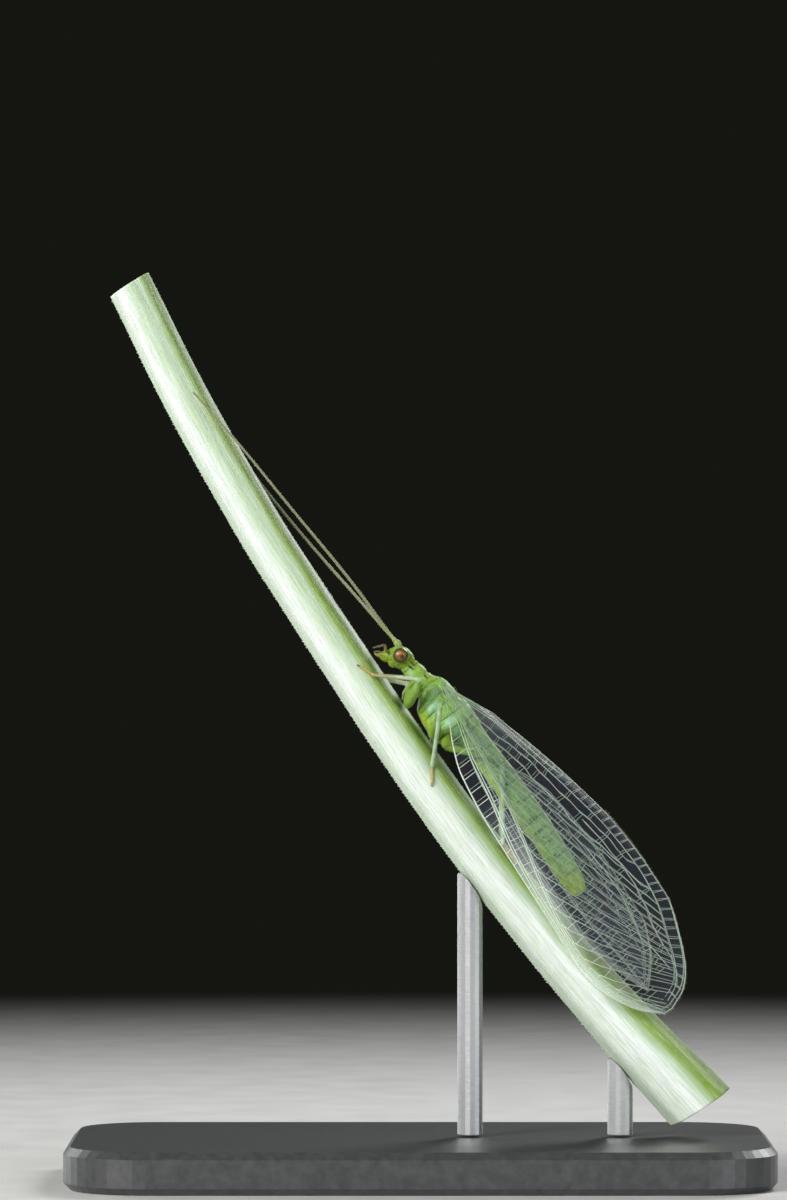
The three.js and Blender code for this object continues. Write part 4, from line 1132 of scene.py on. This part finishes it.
class Veins:
    """A wing's vein lines as (x, z) points with their radii at both ends, after a green lacewing's
    pattern."""

    def __init__(self, wing, rng):
        self.wing = wing
        self.rng = rng
        self.lines = []
        self.top_x = np.linspace(wing.start + 0.35, wing.end, 260)
        self.margin = np.column_stack([self.top_x, wing.upper(self.top_x)])
        self.main_veins()
        self.costal_cells()
        rim = self.margin_cells()
        self.cross_fields([rim, *self.arches(rim), *self.branches(rim)])

    def add(self, points, radius, tip=None):
        self.lines.append((np.asarray(points, float), radius, radius if tip is None else tip))

    def main_veins(self):
        """Two veins close together near the costa, and the sector with a strand above it."""
        wing = self.wing
        x = np.linspace(wing.start + 0.15, wing.end - 0.04, 110)
        low = wing.subcosta(x)
        self.add(np.column_stack([x, low]), MAIN_VEIN_RADIUS, 0.014)
        self.add(np.column_stack([x, low + 0.085 * fade(x, wing.end, -2)]),
                 MAIN_VEIN_RADIUS * 0.9, 0.012)
        self.add(np.column_stack([x, wing.sector(x)]), MAIN_VEIN_RADIUS * 1.25, 0.014)
        x = x[:80]
        self.add(np.column_stack([x, wing.sector(x) + 0.07]), BRANCH_RADIUS * 1.3, 0.012)

    def costal_cells(self):
        """A ladder of cells at the costa, and steps from there to the sector."""
        wing = self.wing
        x = wing.start + 0.7
        while x < wing.end - 0.3:
            low = wing.lower(x + 0.04)
            if wing.subcosta(x) - low > 0.04:
                self.add([(x, wing.subcosta(x)), (x + 0.04, low)], CROSSVEIN_RADIUS * 1.2)
            if wing.sector(x) - wing.subcosta(x) > 0.14:
                ahead = x + self.rng.uniform(0.1, 0.3)
                self.add([(ahead, wing.subcosta(ahead) + 0.08),
                          (ahead + 0.04, wing.sector(ahead + 0.04))], CROSSVEIN_RADIUS)
            x += wing.facts["cell"] * self.rng.uniform(0.9, 1.15)

    def margin_cells(self):
        """A line inside the hind margin with a ladder of rungs, and arcs further in."""
        wing, margin, top_x = self.wing, self.margin, self.top_x
        rim = inward(margin, wing.rim(top_x))
        rim = rim[np.concatenate([[True], np.diff(rim[:, 0]) > 0])]
        self.add(rim[::2], BRANCH_RADIUS, 0.012)
        for share, stop in ((0.28, 0.5), (0.62, 0.42)):
            stop_x = wing.start + (wing.end - wing.start) * stop
            near = top_x < stop_x
            fall = fade(top_x[near], stop_x, -1.5) ** 0.5
            strand = inward(margin[near], wing.rim(top_x[near]) * share * fall)
            self.add(strand[::3], BRANCH_RADIUS * 0.9, 0.011)
        length = reach_along(margin)
        at = wing.facts["rungs_from"]
        while at < length[-1] - 0.1:
            top = [np.interp(at + 0.1, length, margin[:, i]) for i in (0, 1)]
            i = int(np.searchsorted(length, at - 0.06))
            near = margin[max(i - 2, 0):i + 3]
            foot = inward(near, np.full(len(near), wing.rim(margin[i, 0])))
            self.add([foot[len(foot) // 2], top], CROSSVEIN_RADIUS)
            at += wing.facts["rung"] * self.rng.uniform(0.85, 1.15)
        for depth, begin, stop in wing.facts["arcs"]:
            on = (top_x > begin) & (top_x < stop)
            fall = np.clip((wing.end - top_x[on]) / 2.4, 0.3, 1)
            self.add(zigzag(inward(margin[on], depth * fall), self.rng, 0.018),
                     BRANCH_RADIUS * 0.9, 0.012)
        return rim

    def arches(self, rim):
        """Zigzag lines from the wing's base that curve up to the rim."""
        made = []
        for keys in self.wing.facts["arches"]:
            line = zigzag(smooth_path(keys, 60), self.rng)
            end_x = line[-1, 0] + 0.3
            line = np.vstack([line, (end_x, height_on(rim, end_x))])
            self.add(line, BRANCH_RADIUS * 1.1, BRANCH_RADIUS * 0.8)
            made.append(line)
        return made

    def branches(self, rim):
        """The sector's branches, which run out to the rim."""
        facts = self.wing.facts
        count = facts["branches"]
        (begin_first, end_first), (begin_last, end_last) = facts["first"], facts["last"]
        t = np.linspace(0, 1, 40)
        made = []
        for share in (k / (count - 1) for k in range(count)):
            begin = begin_first + (begin_last - begin_first) * share
            end = end_first + (end_last - end_first) * share ** 0.7
            x = begin + (end - begin) * t
            root = self.wing.sector(begin)
            z = np.minimum(root + (height_on(rim, end) - root) * t ** 1.16, height_on(rim, x))
            line = zigzag(np.column_stack([x, z]), self.rng, 0.026 * (1 - share * 0.6), 0.5)
            self.add(line, BRANCH_RADIUS, BRANCH_RADIUS * 0.75)
            made.append(line)
        return made

    def cross_fields(self, fields):
        """Crossveins between each long line and the next, further apart towards the margin."""
        for above, below in zip(fields[:-1], fields[1:]):
            start = max(below[0, 0], above[0, 0]) + 0.1
            stop = min(below[-1, 0], above[-1, 0]) - 0.1
            x = start + self.rng.uniform(0.05, 0.25)
            while x < stop:
                lean = self.rng.uniform(-0.02, 0.12)
                low = height_on(below, x)
                high = height_on(above, x - lean)
                if 0.07 < high - low < 0.75:
                    self.add([(x, low), (x - lean, high)], CROSSVEIN_RADIUS)
                far = (x - start) / max(stop - start, 0.1)
                spread = 1.0 if far < 0.45 else 2.1
                x += self.wing.facts["cell"] * self.rng.uniform(0.85, 1.2) * spread


def make_membrane(name, wing):
    """The clear film, with a painted sheen along the costa over the stem, and milky at the wing's base.
    """
    rows, columns = MEMBRANE_GRID
    s, chord = np.meshgrid(np.linspace(0, 1, rows), np.linspace(0, 1, columns), indexing="ij")
    points = wing.grid(s, chord).reshape(-1, 3)
    faces = [(r * columns + c, r * columns + c + 1, (r + 1) * columns + c + 1, (r + 1) * columns + c)
             for r in range(rows - 1) for c in range(columns - 1)]
    piece = make_piece(f"{name}_membrane", points, faces)
    x = points[:, 0]
    chord = chord.ravel()
    # Painted sheen: a pale, less clear strip along the costa where the film faces the light.
    edge, strength = wing.facts["sheen_and_milk"]
    costal_sheen = fade(chord, edge, 0.1) * fade(x, 3.5, 4)
    milky = fade(chord, 0.8, -0.15) * fade(x, 3.4, -2.6)
    add_layer(piece, "Film", "FLOAT", "value", (costal_sheen + 0.33 * milky) * strength * FILM_TINT)
    dress(piece, MEMBRANE, "wing", name)


def vein_tints(points, pale, shade):
    """Green near the body and where the abdomen shows through, bright at the costa, else pale."""
    x, z = points[:, 0], points[:, 2]
    over = fade(x, 8.6, -0.8) * np.clip(1.4 - np.abs(z - 0.1) / 0.5, 0, 1)
    share = fade(x, -0.4, 5) * pale * (1 - 0.75 * over)
    return blend(blend(VEIN_GREEN, VEIN_PALE, share), VEIN_BRIGHT, 0.95 * fade(z, -0.1, -0.8)) * shade


def make_wing(kind, side_name):
    name = f"{kind}_{side_name}"
    wing = Wing(kind, SIDES[side_name])
    rng = random.Random(SEEDS[kind])
    make_membrane(name, wing)
    shade = wing.facts["shade"]
    parts, tints = [], []

    def add(path, radii, pale, sides=6):
        root = fade(path[:, 0], 0.2, 3.2)
        points, faces = sweep(path, radii * (0.55 + 0.45 * root) * shade ** 0.3, sides, caps=1)
        parts.append((points, faces))
        tints.append(vein_tints(points, pale, shade))

    span = np.linspace(0, 1, 150)
    costa = wing.grid(span, np.ones(150))
    hind = wing.grid(span, np.zeros(150))
    tip = wing.grid(np.ones(9), np.linspace(0, 1, 9))
    add(costa, COSTA_RADIUS * (1 - 0.5 * span), 1.0)
    add(hind, BRANCH_RADIUS * 1.15, 1.0)
    add(tip, BRANCH_RADIUS, 1.0)
    for line, start_radius, end_radius in Veins(wing, rng).lines:
        if len(line) == 2:
            line = smooth_path(line, 4)
        placed = wing.at(line[:, 0], line[:, 1], 0.003)
        pale = 1.0 if start_radius > BRANCH_RADIUS * 1.2 else rng.uniform(0.55, 0.95)
        sides = 6 if start_radius >= BRANCH_RADIUS else 5
        add(placed, np.linspace(start_radius, end_radius, len(placed)), pale, sides)
    points, faces = merged(parts)
    dress(make_piece(f"{name}_veins", points, faces, np.vstack(tints)), VEIN, "wing", name)
    margin = np.vstack([costa[90:], tip[::-1], hind[60:][::-1]])
    make_wing_hairs(f"{name}_hairs", wing.side, points, margin, rng)


# Hairs


def cone_hairs(name, roots, ways, lengths, radius, unwrap, tints=None):
    """Bristles as thin, slightly bent cones. Each takes a small patch of the bake map at its
    root's place on an unwrap of the surface that it grows from."""
    ways = unit(ways)
    lengths = lengths[:, None]
    side = unit(np.cross(ways, np.where(np.abs(ways[:, 2:3]) > 0.9, (1.0, 0, 0), (0, 0, 1.0))))
    other = np.cross(ways, side)
    foot = roots - ways * radius
    bend = side * lengths * 0.06
    points = []
    for middle, thick in ((foot, 1.0), (roots + ways * lengths * 0.55 + bend, 0.6)):
        for a in turns(3):
            points.append(middle + (side * math.cos(a) + other * math.sin(a)) * radius * thick)
    points.append(roots + ways * lengths)
    count = len(points)
    pattern = []
    for k, n in ((0, 1), (1, 2), (2, 0)):
        pattern.append((k, n, 3 + n, 3 + k))
        pattern.append((3 + k, 3 + n, 6))
    faces = [tuple(i * count + v for v in face) for i in range(len(roots)) for face in pattern]
    if tints is not None:
        tints = np.repeat(tints, count, axis=0)
    piece = make_piece(name, np.stack(points, axis=1).reshape(-1, 3), faces, tints)
    layer = piece.data.uv_layers.new(name="OFBake")
    corners = np.array([(0, 0), (0.5, 0), (1, 0), (0, 0.5), (0.5, 0.5), (1, 0.5), (0.5, 1)])
    loops = np.empty(len(piece.data.loops), np.int64)
    piece.data.loops.foreach_get("vertex_index", loops)
    uv = np.clip(unwrap, 0, 1 - HAIR_PATCH)[loops // count] + corners[loops % count] * HAIR_PATCH
    layer.data.foreach_set("uv", uv.astype(np.float32).ravel())
    return piece


def body_unwrap(points):
    """Length along the animal and the turn about it, both from 0 to 1, legs beside the trunk."""
    turn = np.arctan2(points[:, 1], points[:, 2] + 0.4) / (2 * math.pi) + 0.5
    leg = np.abs(points[:, 1]) > LEG_OUT
    along = (points[:, 0] + 3.2) / 12
    return np.column_stack([along * 0.99, np.where(leg, 0.72 + 0.27 * turn, 0.7 * turn)])


def make_body_hairs(at, normals, taken):
    rng = np.random.default_rng(SEEDS["body"])
    length = taken[:, 3]
    clear = np.hypot(at[:, 0] - EYE_X, at[:, 2] - EYE_Z) > EYE_CLEARANCE
    usable = np.flatnonzero((length > 0.03) & clear)
    share = np.where(np.abs(at[usable, 1]) > LEG_OUT, 2.2, 0.35) + 0.5 * (length[usable] > 0.11)
    chosen = rng.choice(usable, BODY_HAIRS, replace=False, p=share / share.sum())
    lie = unit(taken[chosen, 4:7])
    ways = normals[chosen] * rng.uniform(0.5, 1.0, (BODY_HAIRS, 1)) + lie * 0.85
    ways = ways + rng.normal(0, 0.18, (BODY_HAIRS, 3))
    lengths = length[chosen] * rng.uniform(0.5, 1.2, BODY_HAIRS)
    piece = cone_hairs("body_hairs", at[chosen], ways, lengths, 0.003, body_unwrap(at[chosen]))
    dress(piece, HAIR, "body")


def points_on(line, share):
    """The points that lie at shares of the way from one point of a line to the next."""
    low = share.astype(int)
    return line[low] + (line[low + 1] - line[low]) * (share - low)[:, None]


def make_wing_hairs(name, side, vein_points, margin, rng):
    """Short hairs on the veins and a fringe round the outer margin."""
    draws = np.random.default_rng(rng.randrange(10 ** 6))
    on_veins = vein_points[draws.integers(0, len(vein_points), WING_HAIRS)]
    ways = np.column_stack([draws.uniform(0.4, 1, WING_HAIRS),
                            side * draws.uniform(0.2, 0.8, WING_HAIRS),
                            draws.normal(0, 0.35, WING_HAIRS)])
    lengths = draws.uniform(0.03, 0.06, WING_HAIRS)
    fringe = points_on(margin, draws.uniform(0, len(margin) - 1.01, WING_HAIRS // 2))
    away = unit((fringe - (8.0, 0, 0.6)) * (1, 0, 1) + (1.5, 0, 0))
    away = away + draws.normal(0, 0.15, away.shape)
    roots = np.vstack([on_veins, fringe])
    lengths = np.concatenate([lengths, draws.uniform(0.05, 0.12, len(fringe))])
    unwrap = np.column_stack([(roots[:, 0] + 1) / 15, (roots[:, 2] + 1.5) / 4.5])
    piece = cone_hairs(name, roots, np.vstack([ways, away]), lengths, 0.0028, unwrap)
    dress(piece, HAIR, "wing")


def make_feeler_hairs(name, whip, thick):
    rng = np.random.default_rng(SEEDS[name])
    share = rng.uniform(0, len(whip) - 2, FEELER_HAIRS)
    low = share.astype(int)
    along = unit(whip[low + 1] - whip[low])
    around = unit(np.cross(along, rng.normal(0, 1, (FEELER_HAIRS, 3))))
    roots = points_on(whip, share) + around * thick[low][:, None] * 0.9
    unwrap = np.column_stack([share / len(whip), rng.uniform(0, 1, FEELER_HAIRS)])
    lengths = rng.uniform(0.03, 0.05, FEELER_HAIRS)
    piece = cone_hairs(f"{name}_hairs", roots, around + along * 1.1, lengths, 0.0026, unwrap)
    dress(piece, HAIR, "feeler")


# Stem


def from_top(angle):
    """An angle round the stem as its distance from the top, 0 to pi."""
    return np.abs((angle + math.pi) % (2 * math.pi) - math.pi)


def stem_tint(x, angle):
    """Colour round the stem: pale where it faces out, a green band beside its top that widens
    towards the lower end."""
    turn = np.degrees(from_top(angle)) + 2.5 * np.sin(x * 0.5) + 1.5 * np.sin(x * 1.7 + 1)
    place = np.interp(x, list(STEM_BANDS), range(len(STEM_BANDS)))
    tint = 0
    for i, keys in enumerate(STEM_BANDS.values()):
        share = np.clip(1 - np.abs(place - i), 0, 1)
        tint = tint + colours_along(keys, turn) * share[..., None]
    return tint


def stem_surface(x, angle):
    middle = stem_middle(x)
    rough = (0.0018 * np.sin(x * 9 + angle * 3) + 0.0012 * np.sin(x * 23 + angle * 7)
             + 0.0036 * np.sin(x * 1.7 - angle * 5))
    reach = stem_radius(x, angle) + rough
    return np.stack([x, reach * np.sin(angle), middle + reach * np.cos(angle)], axis=-1)


def cut_face(x, turn, shades):
    """Rings of points, colours and grain across a cut end: pale pith inside a green rind."""
    centre = np.array([x, 0, float(stem_middle(x))])
    rim = stem_surface(np.full_like(turn, x), turn)
    points = np.vstack([centre + (rim - centre) * share for share, _ in shades])
    tints = np.vstack([np.tile(shade, (len(turn), 1)) for _, shade in shades])
    return points, tints, points[:, (1, 2, 0)] * (20, 1, 1)


def make_stem():
    rows, sides = STEM_GRID
    turn = turns(sides)
    x, angle = np.meshgrid(np.linspace(STEM_START, STEM_END, rows), turn, indexing="ij")
    grain = np.stack([x, from_top(angle), np.sign(np.sin(angle)) * 3], axis=-1)
    side = [values.reshape(-1, 3) for values in (stem_surface(x, angle), stem_tint(x, angle), grain)]
    ends = np.array([(end, 0, stem_middle(end)) for end in (STEM_START, STEM_END)])
    tips = (ends, np.tile(STEM_PITH, (2, 1)), ends[:, (1, 2, 0)] * (20, 1, 1))
    top = cut_face(STEM_START, turn, CUT_SHADES)
    foot = cut_face(STEM_END, turn, CUT_SHADES[::-1])
    points, tints, grain = (np.vstack(layers) for layers in zip(top, side, foot, tips))
    piece = make_piece("stem_skin", points, ring_faces(rows + 2 * len(CUT_SHADES), sides), tints)
    add_layer(piece, "Grain", "FLOAT_VECTOR", "vector", grain)
    dress(piece, STEM, "stem", "stem")


def make_stem_hairs():
    """Small teeth along the ribs, all leaning one way, and finer hairs between them."""
    rng = np.random.default_rng(SEEDS["stem"])
    teeth_x, teeth_angle = [], []
    for rib in turns(STEM_RIBS):
        x = STEM_START + 0.2
        while x < STEM_END - 0.2:
            teeth_x.append(x + rng.uniform(-0.03, 0.03))
            teeth_angle.append(rib + rng.normal(0, 0.05))
            x += STEM_TEETH_SPACING * rng.uniform(0.7, 1.6)
    teeth = len(teeth_x)
    x = np.concatenate([teeth_x, rng.uniform(STEM_START + 0.1, STEM_END - 0.1, STEM_HAIRS)])
    angle = np.concatenate([teeth_angle, rng.uniform(0, 2 * math.pi, STEM_HAIRS)])
    roots = stem_surface(x, angle)
    outward = np.stack([np.zeros_like(x), np.sin(angle), np.cos(angle)], axis=-1)
    ways = outward + np.array([-0.9, 0, 0]) + rng.normal(0, 0.12, roots.shape)
    lengths = np.concatenate([rng.uniform(0.015, 0.06, teeth), rng.uniform(0.02, 0.05, STEM_HAIRS)])
    unwrap = np.column_stack([(x - STEM_START) / (STEM_END - STEM_START), angle / (2 * math.pi) % 1])
    big = cone_hairs("stem_teeth", roots[:teeth], ways[:teeth], lengths[:teeth], 0.019,
                     unwrap[:teeth], stem_tint(x[:teeth], angle[:teeth]))
    dress(big, TOOTH, "stem")
    fine = cone_hairs("stem_hairs", roots[teeth:], ways[teeth:], lengths[teeth:], 0.006,
                      unwrap[teeth:])
    dress(fine, STEM_HAIR, "stem")


# Studio


def make_floor():
    points = [(0.0, 0.0, 0.0)]
    for radius in FLOOR_RINGS:
        points.extend((radius * math.cos(a), radius * math.sin(a), 0.0) for a in turns(FLOOR_SIDES))
    faces = []
    for s in range(FLOOR_SIDES):
        n = (s + 1) % FLOOR_SIDES
        faces.append((0, 1 + s, 1 + n))
        for start in range(1, len(points) - FLOOR_SIDES, FLOOR_SIDES):
            outer = start + FLOOR_SIDES
            faces.append((start + s, outer + s, outer + n, start + n))
    floor = make_piece("floor", np.array(points) * MM, faces, world=True)
    floor.data.materials.append(floor_material())


def area_light(name, place, target_z, size, power, colour):
    data = bpy.data.lights.new(name, "AREA")
    data.shape = "DISK"
    data.size = size * MM
    data.energy = power
    data.color = colour
    light = bpy.data.objects.new(name, data)
    bpy.context.scene.collection.objects.link(light)
    light.location = Vector(place) * MM
    way = Vector((0, 0, target_z)) - Vector(place)
    light.rotation_euler = way.to_track_quat("-Z", "Y").to_euler()


def make_studio():
    make_floor()
    for light in LIGHTS:
        area_light(*light)
    world = bpy.data.worlds.new("studio")
    world.use_nodes = True
    backdrop = world.node_tree.nodes["Background"]
    backdrop.inputs["Color"].default_value = BACKDROP
    backdrop.inputs["Strength"].default_value = 1.0
    bpy.context.scene.world = world
    bpy.context.scene.view_settings.view_transform = "Standard"


def make_camera():
    data = bpy.data.cameras.new("camera")
    data.lens = CAMERA_LENS
    data.sensor_width = CAMERA_SENSOR
    data.clip_start = 0.01
    data.clip_end = 10
    camera = bpy.data.objects.new("camera", data)
    camera.location = [value * MM for value in CAMERA_PLACE]
    camera.rotation_euler = (math.pi / 2, 0, 0)
    bpy.context.scene.collection.objects.link(camera)
    bpy.context.scene.camera = camera


EYE = eye_material()
FEELER = feeler_material()
VEIN = vein_material()
MEMBRANE = membrane_material()
STEM = stem_material()
HAIR = hair_material("pale hairs", srgb(150, 164, 120), srgb(190, 198, 166))
TOOTH = tooth_material()
STEM_HAIR = hair_material("stem hairs", srgb(170, 192, 136), srgb(214, 226, 196))

make_camera()
make_studio()
make_stem()
make_stem_hairs()
make_body_hairs(*make_skin())
for side_name, side in SIDES.items():
    make_eye(f"eye_{side_name}", side)
    make_feeler(f"antenna_{side_name}", side_name)
    make_palps(f"palp_{side_name}", side)
    for kind in WINGS:
        make_wing(kind, side_name)
base = base_material()
rod = rod_material()
for node, material in (("stand_base", base), ("stand_rod_upper", rod), ("stand_rod_lower", rod)):
    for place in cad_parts[node].material_slots:
        place.material = material

bpy.context.view_layer.update()
